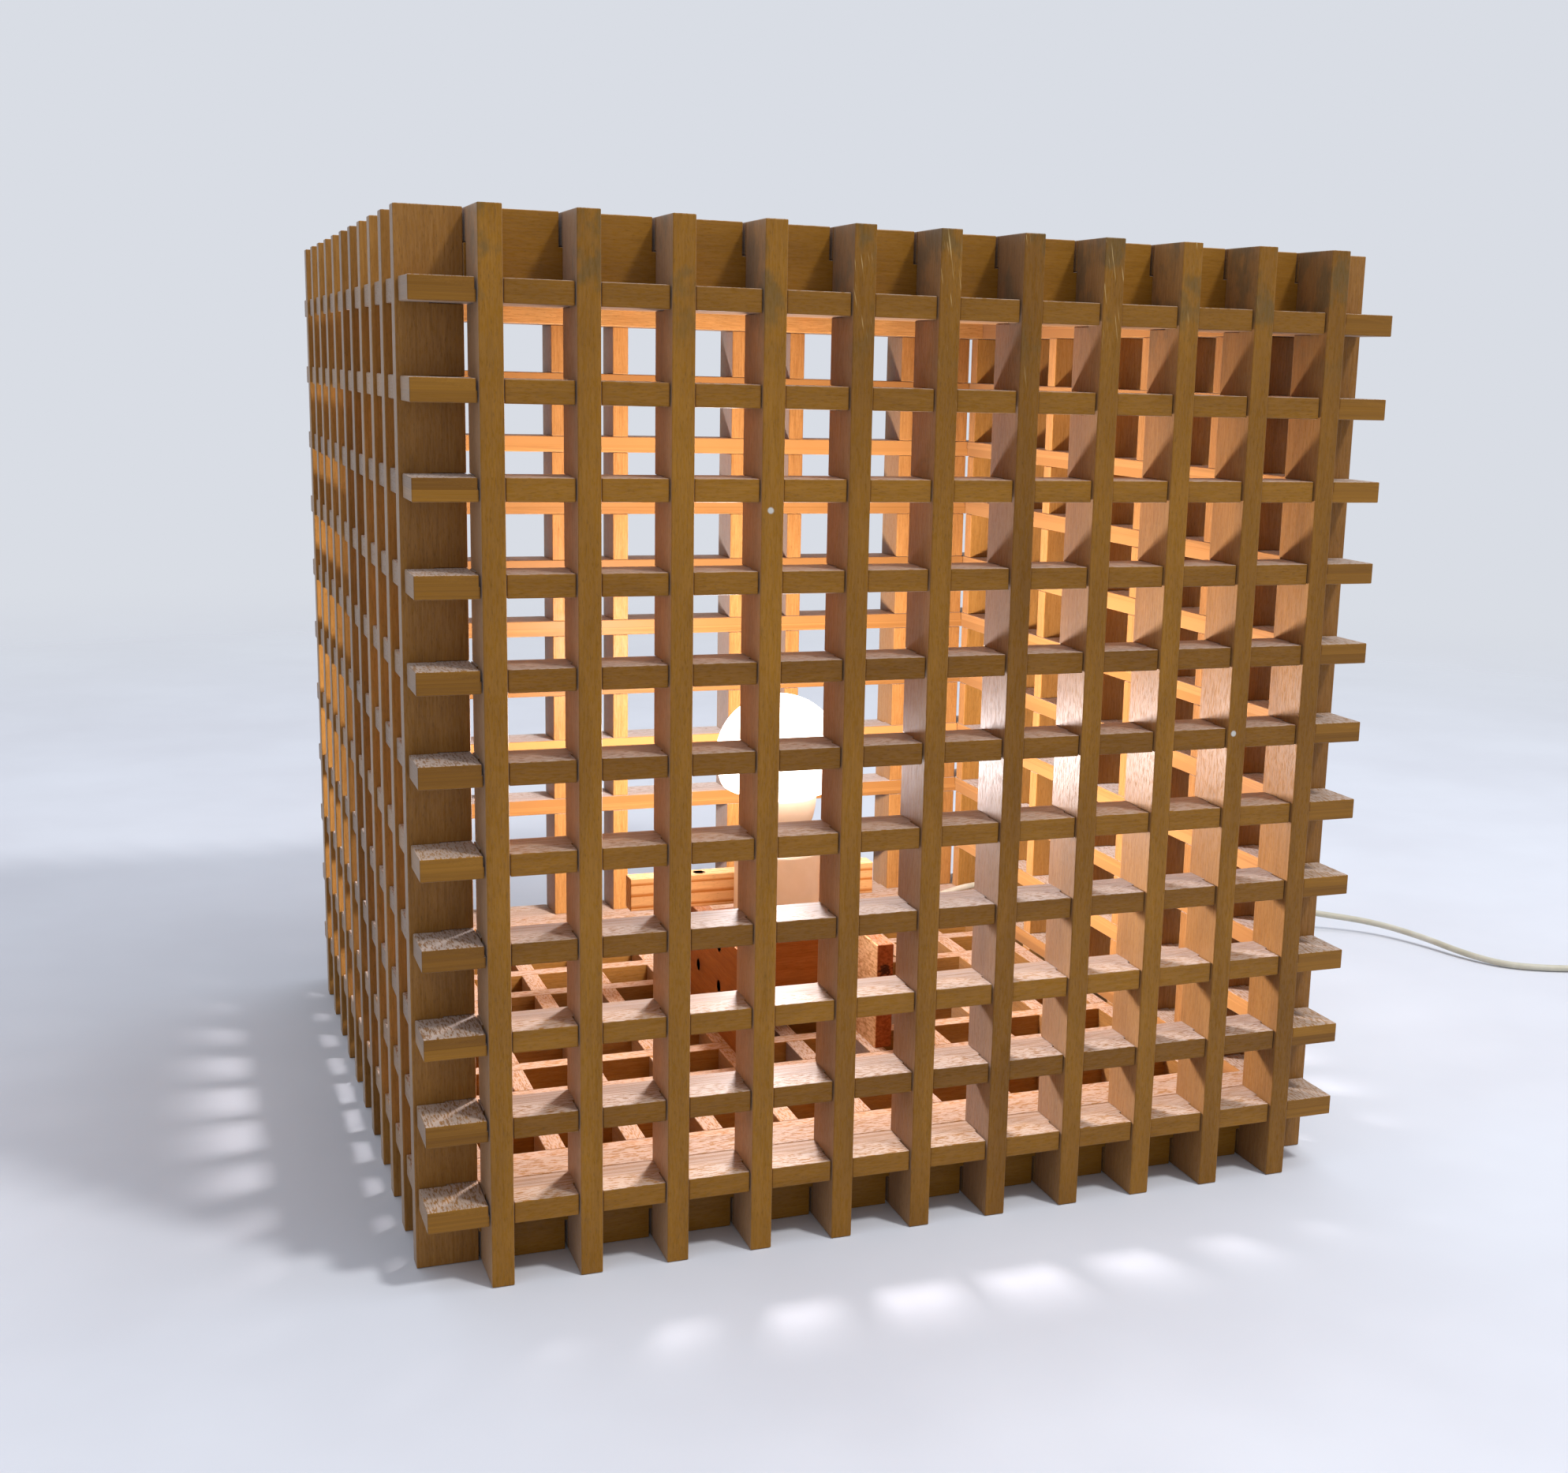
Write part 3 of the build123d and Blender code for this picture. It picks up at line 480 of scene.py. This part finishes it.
def eased(name, solid, place, shift=(0, 0, 0), outward=None, tone=None, ends_in_outer_shade=False):
    """Round a solid's outer edges, note its grain and its painted outer shade, and put it in
    place.

    The solid lies along X.  outward is the way, before it is placed, to the side that is painted
    in the dark outer shade; place takes the solid to the frame; shift is where in its plank it
    was cut; tone is its shade from 0 to 1, where no tree gives one.
    """
    sharp = [edge for edge in solid.edges if edge.calc_face_angle_signed(0.0) > SHARP]
    rounded = bmesh.ops.bevel(solid, geom=sharp, offset=EASED_EDGE, offset_type="OFFSET",
                              segments=2, profile=0.5, affect="EDGES", clamp_overlap=True)
    new_faces = set(rounded["faces"])
    grain = solid.verts.layers.float_vector.new("grain")
    for vert in solid.verts:
        vert[grain] = vert.co + Vector(shift)
    flags = ["end", "edge", "outside"] + (["tone"] if tone is not None else [])
    layers = {flag: solid.faces.layers.float.new(flag) for flag in flags}
    solid.normal_update()
    for face in solid.faces:
        at_end = abs(face.normal.x) > 0.8
        facing = face.normal.dot(Vector(outward)) if outward else -1.0
        face[layers["edge"]] = float(face in new_faces)
        face[layers["end"]] = float(at_end and not ends_in_outer_shade)
        # Painted shade: outer faces take the most of the dark olive shade and inner faces, lit by
        # the bulb, hardly any
        if at_end and ends_in_outer_shade or facing > 0.5:
            face[layers["outside"]] = 1.0
        else:
            face[layers["outside"]] = 0.1 if facing < -0.5 else 0.6
        if tone is not None:
            face[layers["tone"]] = tone
    bmesh.ops.transform(solid, matrix=place, verts=solid.verts)
    if place.determinant() < 0:
        bmesh.ops.reverse_faces(solid, faces=solid.faces)
    mesh = bpy.data.meshes.new(name)
    solid.to_mesh(mesh)
    solid.free()
    return add_piece(name, mesh)


def axes(along, across, through, origin):
    """Matrix that takes X, Y and Z to three directions at an origin."""
    return Matrix.Translation(origin) @ Matrix((along, across, through)).transposed().to_4x4()


def finish_piece(piece, body, finish, slot_name, *replaced):
    """Give a piece its material, where it has none, and its body, and hide the nodes that it
    stands for; slot_name is not used.
    """
    if not piece.data.materials:
        piece.data.materials.append(finish)
    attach(piece, body)
    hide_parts(*replaced)
    return piece


def row_tree():
    """Tree that repeats one slat at an even step and turns the row to its side of the cube."""
    tree = bpy.data.node_groups.new("Row of slats", "GeometryNodeTree")
    for name, kind in (("Slat", "Geometry"), ("Count", "Int"), ("Step", "Vector"),
                       ("Turn", "Float"), ("Seed", "Int"), ("Finish", "Material")):
        tree.interface.new_socket(name, in_out="INPUT", socket_type="NodeSocket" + kind)
    tree.interface.new_socket("Row", in_out="OUTPUT", socket_type="NodeSocketGeometry")
    given = node(tree, "NodeGroupInput").outputs
    places = node(tree, "GeometryNodeMeshLine", {"mode": "OFFSET"},
                  {"Count": given["Count"], "Offset": given["Step"]})
    row = node(tree, "GeometryNodeInstanceOnPoints", {},
               {"Points": places.outputs["Mesh"], "Instance": given["Slat"]})

    # Each slat is cut from another place in the plank and has its own shade
    plank = node(tree, "FunctionNodeRandomValue",
                 {"data_type": "FLOAT_VECTOR", "Min": (-3, -0.02, -0.02), "Max": (3, 0.02, 0.02)},
                 {"Seed": given["Seed"]})
    shade = node(tree, "FunctionNodeRandomValue", {"data_type": "FLOAT"},
                 {"Seed": given["Seed"]})
    cut_from = node(tree, "GeometryNodeStoreNamedAttribute",
                    {"data_type": "FLOAT_VECTOR", "domain": "INSTANCE", "Name": "plank"},
                    {"Geometry": row.outputs["Instances"], "Value": plank.outputs["Value"]})
    shaded = node(tree, "GeometryNodeStoreNamedAttribute",
                  {"data_type": "FLOAT", "domain": "INSTANCE", "Name": "tone"},
                  {"Geometry": cut_from.outputs["Geometry"], "Value": shade.outputs[1]})
    joined = node(tree, "GeometryNodeRealizeInstances", {},
                  {"Geometry": shaded.outputs["Geometry"]})
    local = node(tree, "GeometryNodeInputNamedAttribute",
                 {"data_type": "FLOAT_VECTOR", "Name": "grain"})
    moved = node(tree, "GeometryNodeInputNamedAttribute",
                 {"data_type": "FLOAT_VECTOR", "Name": "plank"})
    total = node(tree, "ShaderNodeVectorMath", {"operation": "ADD"},
                 {0: local.outputs["Attribute"], 1: moved.outputs["Attribute"]})
    grained = node(tree, "GeometryNodeStoreNamedAttribute",
                   {"data_type": "FLOAT_VECTOR", "domain": "POINT", "Name": "grain"},
                   {"Geometry": joined.outputs["Geometry"], "Value": total.outputs[0]})
    turn = node(tree, "ShaderNodeCombineXYZ", {}, {"Z": given["Turn"]})
    side = node(tree, "GeometryNodeTransform", {},
                {"Geometry": grained.outputs["Geometry"], "Rotation": turn.outputs[0]})
    finished = node(tree, "GeometryNodeSetMaterial", {},
                    {"Geometry": side.outputs["Geometry"], "Material": given["Finish"]})
    node(tree, "NodeGroupOutput", {}, {"Row": finished.outputs["Geometry"]})
    return tree


def apply_tree(name, piece, tree, **values):
    """Run a tree on a piece with the values of its named inputs, and keep the plain mesh."""
    piece.data.materials.append(values["Finish"])
    growing = piece.modifiers.new("tree", "NODES")
    growing.node_group = tree
    for item in tree.interface.items_tree:
        if item.in_out == "INPUT" and item.name in values:
            growing[item.identifier] = values[item.name]
    made = add_piece(name, evaluated_mesh(piece))
    made.data.name = name
    return made


# ---------------------------------------------------------------- the four sides

rows = row_tree()

upright_outline = notched_outline(cube_height, SLAT_DEPTH, evenly(ROWS, ROW_PITCH), notch_width,
                                  half_lap)
rail_outline = notched_outline(2 * rail_face, rail_face - inner_face,
                               evenly(COLUMNS, COLUMN_PITCH), rail_notch_width,
                               rail_face - inner_face - half_lap)
CLEAR = 0.1  # how far a cutter runs past what it cuts
corner = [(corner_start, -outer_face - CLEAR), (outer_face + CLEAR, -outer_face - CLEAR),
          (outer_face + CLEAR, 0), (corner_start, 0)]
other_corner = [(-x, y) for x, y in corner]

# Front and back rails keep the lower half of each corner lap, side rails the upper half
SIDES = {"front": (0, 1), "right": (90, 0), "back": (180, 1), "left": (270, 0)}

for seed, (side, (turn, keeps_lower)) in enumerate(SIDES.items()):
    side_finish = marked_beech if side == "front" else beech

    # The notched face of an upright looks inwards, so its outline is turned over
    upright = prism([(x, SLAT_DEPTH - y) for x, y in upright_outline],
                    -SLAT_THICKNESS / 2, SLAT_THICKNESS / 2)
    place = axes(Z, -Y, X, (-last_column, -inner_face, cube_height / 2))
    upright = eased("upright", upright, place, outward=Y)
    made = apply_tree(f"{side}_upright_slats", upright, rows, Count=COLUMNS,
                      Step=(COLUMN_PITCH, 0, 0), Turn=math.radians(turn), Seed=seed,
                      Finish=side_finish)
    finish_piece(made, "cube", beech, "side_slats", f"{side}_uprights")

    rail = prism(rail_outline, -SLAT_THICKNESS / 2, SLAT_THICKNESS / 2)
    place = axes(X, -Y, Z, (0, -inner_face, first_row))
    # The rails' ends take the painted outer shade instead of end grain
    rail = eased("rail", rail, place, outward=Y, ends_in_outer_shade=True)
    levels = (first_row, first_row + CLEAR) if keeps_lower else (first_row - CLEAR, first_row)
    rail = cut_away(rail, prism(corner, *levels), prism(other_corner, *levels))
    made = apply_tree(f"{side}_rail_slats", rail, rows, Count=ROWS, Step=(0, 0, ROW_PITCH),
                      Turn=math.radians(turn), Seed=seed + len(SIDES), Finish=beech)
    finish_piece(made, "cube", beech, "side_slats", f"{side}_rails")

# ---------------------------------------------------------------- boards and grids

for level_name, base, up in (("bottom", 0.0, -1), ("top", cube_height, 1)):
    level = Vector((0, 0, base))

    # Slots of the boards open away from the cube's middle
    board = notched_outline(2 * inner_face, board_height, evenly(COLUMNS - 2, COLUMN_PITCH),
                            BOARD_SLOT, BOARD_SLOT_DEPTH, board_end_lap)
    for seed, (end_name, side) in enumerate((("front", -1), ("back", 1))):
        solid = prism([(x, y - board_height) for x, y in board], board_face, inner_face)
        place = axes(X, Z * up, Y * side, level)
        made = eased(f"{level_name}_{end_name}_edge_board", solid, place,
                     shift=(seed + up, 0.02 * seed, 0.03), outward=Z, tone=1.0)
        finish_piece(made, "cube", beech, "grid_boards", f"{level_name}_{end_name}_board")

    # Cross slats run front to back; their notches and end laps face the cube's middle
    inward = -Z * up
    body = "cube" if level_name == "bottom" else "top_grid"
    cross = notched_outline(2 * inner_face, SLAT_DEPTH, evenly(LONG_SLATS, COLUMN_PITCH),
                            notch_width, half_lap, end_lap)
    solid = prism(cross, -SLAT_THICKNESS / 2, SLAT_THICKNESS / 2)
    place = axes(Y, inward, X, level - X * last_column)
    made = apply_tree(f"{level_name}_grid_cross", eased("cross", solid, place, outward=-Y), rows,
                      Count=COLUMNS, Step=(COLUMN_PITCH, 0, 0), Turn=0.0, Seed=11 + up,
                      Finish=beech)
    finish_piece(made, body, beech, "grid_slats", f"{level_name}_cross_slats")

    # Long slats fill the grid the other way, notched from outside
    long_outline = notched_outline(2 * grid_edge, SLAT_DEPTH, evenly(COLUMNS - 2, COLUMN_PITCH),
                                   notch_width, half_lap, SLAT_THICKNESS + NOTCH_PLAY)
    solid = prism(long_outline, -SLAT_THICKNESS / 2, SLAT_THICKNESS / 2)
    place = axes(X, Z * up, Y, level + inward * SLAT_DEPTH - Y * last_long)
    made = apply_tree(f"{level_name}_grid_long", eased("long", solid, place, outward=Y), rows,
                      Count=LONG_SLATS, Step=(0, COLUMN_PITCH, 0), Turn=0.0, Seed=15 + up,
                      Finish=beech)
    finish_piece(made, body, beech, "grid_slats", f"{level_name}_long_slats")

# ---------------------------------------------------------------- the bulb stand


def plain_board(node_name, name, along, finish, slot_name, shift):
    """Board with eased edges in a CAD node's box, its grain along X or Y."""
    low, high = (Vector(corner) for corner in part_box(node_name))
    size = high - low
    order = {"X": (0, 1, 2), "Y": (1, 2, 0)}[along]
    length, depth, thickness = (size[i] for i in order)
    half = length / 2
    solid = prism([(-half, 0), (-half, depth), (half, depth), (half, 0)], 0, thickness)
    directions = [(X, Y, Z)[i] for i in order]
    origin = low + directions[0] * half
    made = eased(name, solid, axes(*directions, origin), shift=shift, tone=0.8)
    return finish_piece(made, "cube", finish, slot_name, node_name)


plain_board("stand_left_board", "stand_left", "Y", redwood, "stand_boards", (0.3, 0.01, 0))
plain_board("stand_right_board", "stand_right", "Y", redwood, "stand_boards", (0.9, 0.02, 0.02))
plain_board("stand_front_cross", "stand_cross_front", "X", redwood, "stand_boards", (1.7, 0, 0))
plain_board("stand_back_cross", "stand_cross_back", "X", redwood, "stand_boards", (2.3, 0, 0.1))
plain_board("stand_plate", "stand_top_plate", "X", redwood, "stand_boards", (2.9, 0.04, 0))
plain_board("stand_batten", "pine_batten", "X", pine, "pine_batten", (0.2, 0.03, 0.01))

# ---------------------------------------------------------------- round pieces

holder = middle("lampholder_shell")
axis_place = Vector((holder.x, holder.y, 0))


def turned(name, profile, steps=72, sharp=35):
    """Lathe a closed profile of (radius, height) points round the lampholder's axis."""
    made = bmesh.new()
    rings = []
    for radius, height in profile:
        if radius < 1e-6:
            rings.append([made.verts.new(axis_place + Z * height)])
            continue
        turns = (2 * math.pi * i / steps for i in range(steps))
        rings.append([made.verts.new(axis_place + Vector((radius * math.cos(a),
                                                          radius * math.sin(a), height)))
                      for a in turns])
    pairs = list(zip(rings, rings[1:]))
    if profile[0][0] > 1e-6:
        pairs.append((rings[-1], rings[0]))
    for first, second in pairs:
        for i in range(steps):
            corners = [ring[k % len(ring)] for ring, k in
                       ((first, i), (first, i + 1), (second, i + 1), (second, i))]
            unique = list(dict.fromkeys(corners))
            if len(unique) > 2:
                made.faces.new(unique)
    bmesh.ops.recalc_face_normals(made, faces=made.faces)
    for face in made.faces:
        face.smooth = True
    mesh = bpy.data.meshes.new(name)
    made.to_mesh(mesh)
    made.free()
    mesh.set_sharp_from_angle(angle=math.radians(sharp))
    return add_piece(name, mesh)


def rounded_corner(centre, radius, start, end, steps=6):
    """Points of an arc in a profile, angles in degrees."""
    for i in range(steps + 1):
        turn = math.radians(start + (end - start) * i / steps)
        yield (centre[0] + radius * math.cos(turn), centre[1] + radius * math.sin(turn))


def spline_points(start, end, start_way, end_way, steps=24):
    """Hermite curve between two profile points with their directions."""
    span = (Vector(end) - Vector(start)).length
    first, second = Vector(start_way).normalized() * span, Vector(end_way).normalized() * span
    for i in range(steps + 1):
        t = i / steps
        blend_start = 2 * t**3 - 3 * t**2 + 1
        blend_end = 3 * t**2 - 2 * t**3
        point = (Vector(start) * blend_start + first * (t**3 - 2 * t**2 + t)
                 + Vector(end) * blend_end + second * (t**3 - t**2))
        yield (point.x, point.y)


SHELL_WALL = 2.5 * MM
SHELL_TOP = 3.0 * MM
SHELL_MOUTH = 15.5 * MM
SHELL_ROUND = 2.0 * MM
MOUTH_ROUND = 0.8 * MM
FOOT_BEVEL = 0.3 * MM
shell_low, shell_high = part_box("lampholder_shell")
shell_radius = (shell_high[0] - shell_low[0]) / 2
rim = shell_high[2]
shell_profile = [
    (shell_radius - SHELL_WALL, shell_low[2]),
    (shell_radius - FOOT_BEVEL, shell_low[2]),
    (shell_radius, shell_low[2] + FOOT_BEVEL),
    *rounded_corner((shell_radius - SHELL_ROUND, rim - SHELL_ROUND), SHELL_ROUND, 0, 90),
    *rounded_corner((SHELL_MOUTH + MOUTH_ROUND, rim - MOUTH_ROUND), MOUTH_ROUND, 90, 180),
    (SHELL_MOUTH, rim - SHELL_TOP),
    (shell_radius - SHELL_WALL, rim - SHELL_TOP),
]
finish_piece(turned("holder_shell", shell_profile), "cube", ivory_shell, "ivory_shell",
             "lampholder_shell")

# The globe is rounder and 13 mm wider than its solid, and the housing meets it higher up
HOUSING_FOOT = 13.8 * MM
FOOT_EDGE = 0.4 * MM
COLLAR_RADIUS = 22.0 * MM
COLLAR_RISE = 6.0 * MM  # above the top of the housing's solid
COLLAR_ROUND = 0.6 * MM
GLOBE_RADIUS = 36.5 * MM
GLOBE_MIDDLE = 184.4 * MM
GLOBE_INSET = 0.7 * MM  # globe inside the collar
TAPER_START = -25.0  # degrees; below this the globe stops being a sphere
TAPER_ACROSS, TAPER_DOWN = 0.906, 0.423  # its cosine and sine
housing_low, housing_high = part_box("bulb_housing")
seam = housing_high[2] + COLLAR_RISE
housing_profile = [
    (0, housing_low[2]),
    (HOUSING_FOOT - FOOT_EDGE, housing_low[2]),
    *spline_points((HOUSING_FOOT, housing_low[2] + FOOT_EDGE),
                   (COLLAR_RADIUS, seam - 1.0 * MM), (0.9, 1), (0.05, 1)),
    *rounded_corner((COLLAR_RADIUS - COLLAR_ROUND, seam - COLLAR_ROUND), COLLAR_ROUND, 0, 90, 3),
    (0, seam),
]
finish_piece(turned("bulb_neck", housing_profile), "bulb", housing_pc, "bulb_housing",
             "bulb_housing")

globe_profile = [
    (0, seam),
    *spline_points((COLLAR_RADIUS - GLOBE_INSET, seam),
                   (GLOBE_RADIUS * TAPER_ACROSS, GLOBE_MIDDLE - GLOBE_RADIUS * TAPER_DOWN),
                   (1.1, 1), (TAPER_DOWN, TAPER_ACROSS)),
    *list(rounded_corner((0, GLOBE_MIDDLE), GLOBE_RADIUS, TAPER_START, 90, 40))[1:-1],
    (0, GLOBE_MIDDLE + GLOBE_RADIUS),
]
globe = finish_piece(turned("lit_globe", globe_profile, 96), "bulb", opal, "opal_globe",
                     "bulb_globe")

# Light of the bulb, from inside the globe: one lamp lights the wood and a weaker one gleams on
# its varnish.  Their even falloff stands for the light that the slats pass on to each other,
# and it ends just outside the cube
BULB_POWER = 27.0
BULB_GLEAM = 11.0
BULB_SOFTNESS = 0.65 * GLOBE_RADIUS
GLEAM_SHIFT = (-0.014, -0.024, 0)  # towards the front left
BULB_COLOUR = "#FFF7F9"
FALLOFF_START, FALLOFF_END = 0.31, 0.41  # metres from the lamp
LIGHT_PAST_END = 0.06  # share of the light that is left past the end
globe.visible_shadow = False
for name, power, seen_by, shift in (("bulb_light", BULB_POWER, "diffuse", (0, 0, 0)),
                                    ("bulb_gleam", BULB_GLEAM, "glossy", GLEAM_SHIFT)):
    glow = bpy.data.lights.new(name, "POINT")
    glow.shadow_soft_size = BULB_SOFTNESS
    glow.energy = 1.0
    glow.color = linear(BULB_COLOUR)[:3]
    glow.use_nodes = True
    falloff = node(glow.node_tree, "ShaderNodeLightFalloff", {"Strength": power})
    ray_length = node(glow.node_tree, "ShaderNodeLightPath").outputs["Ray Length"]
    spent = node(glow.node_tree, "ShaderNodeMapRange",
                 {"From Min": FALLOFF_START, "From Max": FALLOFF_END, "To Min": 1.0,
                  "To Max": LIGHT_PAST_END}, {"Value": ray_length})
    glow.node_tree.links.new(
        times(glow.node_tree, falloff.outputs["Linear"], spent.outputs["Result"]),
        glow.node_tree.nodes["Emission"].inputs["Strength"],
    )
    glow_place = add_piece(name, glow)
    glow_place.location = Vector((holder.x, holder.y, GLOBE_MIDDLE)) + Vector(shift)
    glow_place.parent = globe
    glow_place.visible_diffuse = seen_by == "diffuse"
    glow_place.visible_glossy = seen_by == "glossy"

# CAD nodes that keep their shape and get their finish
CAD_FINISHES = {
    "stand_screws": zinc,
    "batten_screws": zinc,
    "lampholder_screws": zinc,
    "lampholder_core": porcelain,
    "lampholder_screw_shell": brass,
    "lampholder_contact": brass,
    "cord_gland": ivory_shell,
    "bulb_tip": solder,
    "bulb_cap_insulator": black_glass,
    "bulb_cap": nickel,
    "cord_tie": tie_ribbon,
    "plug_body": plug_pvc,
    "plug_pins": nickel,
}
for node_name, finish in CAD_FINISHES.items():
    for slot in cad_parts[node_name].material_slots:
        slot.material = finish

# ---------------------------------------------------------------- the cord

# Points in millimetres: from the gland down to the bottom grid, back between the stand's
# boards, over the lowest right rail and down to the floor
CORD_DIAMETER = 4.5 * MM
CORD_POINTS = [
    (3.0, 0.0, 62.5),
    (3.0, 0.0, 44.6),
    (3.8, 14.3, 30.4),
    (7.0, 40.0, 30.4),
    (16.0, 82.0, 30.4),
    (44.0, 118.0, 30.4),
    (92.0, 140.0, 30.5),
    (143.0, 152.0, 33.0),
    (188.0, 172.0, 45.5),
    (243.0, 181.0, 45.5),
    (296.0, 186.0, 37.5),
    (348.0, 184.0, 29.0),
    (400.0, 176.0, 21.5),
    (446.0, 160.0, 15.8),
    (486.0, 140.0, 11.4),
    (515.0, 119.0, 8.9),
    (532.0, 84.0, 6.4),
    (541.0, 48.0, 3.9),
    (556.0, 21.0, 2.4),
    (580.0, 6.5, 2.4),
    (606.0, -2.5, 2.4),
    (632.0, -6.4, 2.4),
]
TAIL_POINTS = [
    (665.1, -36.0, 7.3),
    (664.9, -56.0, 6.0),
    (667.0, -77.0, 6.85),
    (667.0, -98.0, 6.85),
]

# Six and a quarter turns, three side by side on the floor and three on top of them; each has
# its radius and its height
COIL_MIDDLE = (636.0, -36.0)
COIL_TURNS = [(29.4, 3.3), (24.75, 3.3), (20.1, 3.3), (20.1, 7.8), (24.75, 7.8), (29.4, 7.8)]
TURN_POINTS = 16
COIL_START = 97.7  # degrees from X at which the cord meets the coil
STEP_OVER = 0.88  # share of a turn after which the cord moves over to the next one


def coil_points():
    """Control points of the wound cord, clockwise from above."""
    swell = 1 / math.cos(math.pi / TURN_POINTS)
    last = len(COIL_TURNS) * TURN_POINTS + round(TURN_POINTS * COIL_START / 360)
    for i in range(1, last):
        turn = i / TURN_POINTS
        here = COIL_TURNS[min(int(turn), len(COIL_TURNS) - 1)]
        after = COIL_TURNS[min(int(turn) + 1, len(COIL_TURNS) - 1)]
        share = max(0.0, (turn % 1 - STEP_OVER) / (1 - STEP_OVER))
        radius, level = (a + (b - a) * share for a, b in zip(here, after))
        way = math.radians(COIL_START - 360 * turn)
        radius *= swell
        yield (COIL_MIDDLE[0] + radius * math.cos(way), COIL_MIDDLE[1] + radius * math.sin(way),
               level)


def cord_curve(name, points, bevel):
    """Smooth spline that has the points as its control points."""
    curve = bpy.data.curves.new(name, "CURVE")
    curve.dimensions = "3D"
    curve.resolution_u = 6
    curve.bevel_depth = bevel
    curve.bevel_resolution = 4
    curve.use_fill_caps = True
    spline = curve.splines.new("NURBS")
    spline.points.add(len(points) - 1)
    for control, point in zip(spline.points, points):
        control.co = (*(value * MM for value in point), 1)
    spline.order_u = 3
    spline.use_endpoint_u = True
    return add_piece(name, curve)


cord = cord_curve("mains_cord", CORD_POINTS + list(coil_points()) + TAIL_POINTS,
                  CORD_DIAMETER / 2)
cord.data.materials.append(cord_pvc)
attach(cord, "cube")
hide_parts("cord_run", "cord_coil", "cord_tail")
tuple(value * MM for value in CORD_POINTS[0])

# ---------------------------------------------------------------- floor, light and camera

BACKGROUND = "#D9DDE5"
FLOOR_REACH = 6.0
FLOOR_DROP = 0.2 * MM  # keeps the floor clear of the faces that stand on it
FADE_START, FADE_END = 0.7, 2.6  # metres from the lamp

floor_mesh = bpy.data.meshes.new("floor")
floor_mesh.from_pydata([(x * FLOOR_REACH, y * FLOOR_REACH, 0)
                        for x, y in ((-1, -1), (1, -1), (1, 1), (-1, 1))], [], [(0, 1, 2, 3)])
floor = add_piece("floor", floor_mesh)
floor.location.z = -FLOOR_DROP
# Matt painted floor: pale grey with a faint cloud
floor_finish, floor_tree, floor_shader = material("Pale floor", Roughness=0.75,
                                                  Specular_IOR_Level=0.2)
floor_place = node(floor_tree, "ShaderNodeTexCoord").outputs["Object"]
floor_tree.links.new(
    ramp(floor_tree, speckle(floor_tree, floor_place, (4, 4, 4), 4.0), (0.3, "#D3D5DC"),
         (0.7, "#DCDFE6")),
    floor_shader.inputs["Base Color"],
)
# Away from the lamp the floor fades into the background
reach = node(floor_tree, "ShaderNodeVectorMath", {"operation": "LENGTH"}, {0: floor_place})
unseen = node(floor_tree, "ShaderNodeBsdfTransparent")
mixed = node(floor_tree, "ShaderNodeMixShader", {},
             {0: fade(floor_tree, reach.outputs["Value"], FADE_START, FADE_END),
              1: floor_shader.outputs["BSDF"], 2: unseen.outputs["BSDF"]})
floor_tree.links.new(mixed.outputs["Shader"],
                     floor_tree.nodes["Material Output"].inputs["Surface"])
floor_mesh.materials.append(floor_finish)

# The camera sees a plain backdrop, and everything else is lit by a dimmer, cooler room
LIGHT_FROM_ROOM = 0.68
world = bpy.data.worlds.new("Pale room")
bpy.context.scene.world = world
world.use_nodes = True
sky = world.node_tree
sky.nodes.clear()
seen = node(sky, "ShaderNodeBackground", {"Color": linear(BACKGROUND), "Strength": 1.0})
lit = node(sky, "ShaderNodeBackground",
           {"Color": linear("#F2F6FF"), "Strength": LIGHT_FROM_ROOM})
rays = node(sky, "ShaderNodeLightPath").outputs
direct = maths(sky, "MAXIMUM", rays["Is Camera Ray"], rays["Is Glossy Ray"])
direct = maths(sky, "MAXIMUM", direct, rays["Is Transmission Ray"])
room = node(sky, "ShaderNodeMixShader", {}, {0: direct, 1: lit.outputs[0], 2: seen.outputs[0]})
node(sky, "ShaderNodeOutputWorld", {}, {"Surface": room.outputs[0]})


def lamp(name, place, aim, size, power, colour):
    """Square soft light that looks at a point; power is in watts."""
    light = bpy.data.lights.new(name, "AREA")
    light.size = size
    light.energy = power
    light.color = linear(colour)[:3]
    made = add_piece(name, light)
    made.location = place
    made.rotation_euler = (Vector(aim) - Vector(place)).to_track_quat("-Z", "Y").to_euler()


lamp("window", (0.95, -1.45, 2.5), (0, 0, 0.25), size=0.3, power=40.0, colour="#FFFFFF")
lamp("ceiling", (0.6, 0.2, 3.0), (0, 0, 0.2), size=2.5, power=30.0, colour="#F4F7FF")

CAMERA_PLACE = (-0.3377, -1.0187, 0.4045)
CAMERA_YAW, CAMERA_PITCH, CAMERA_ROLL = 21.438, 11.607, 1.580  # degrees
SENSOR_WIDTH, CAMERA_LENS = 36.0, 43.638  # millimetres
CAMERA_SHIFT = (-0.0579, 0.0146)
camera_data = bpy.data.cameras.new("camera")
camera_data.sensor_width = SENSOR_WIDTH
camera_data.lens = CAMERA_LENS
camera_data.shift_x, camera_data.shift_y = CAMERA_SHIFT
camera_data.clip_start = 0.02
camera = add_piece("camera", camera_data)
aimed = Euler((math.radians(90 - CAMERA_PITCH), 0, math.radians(-CAMERA_YAW)), "XYZ")
rolled = Matrix.Rotation(math.radians(CAMERA_ROLL), 4, "Z")
camera.matrix_world = Matrix.Translation(CAMERA_PLACE) @ aimed.to_matrix().to_4x4() @ rolled
bpy.context.scene.camera = camera
bpy.context.scene.view_settings.view_transform = "Standard"
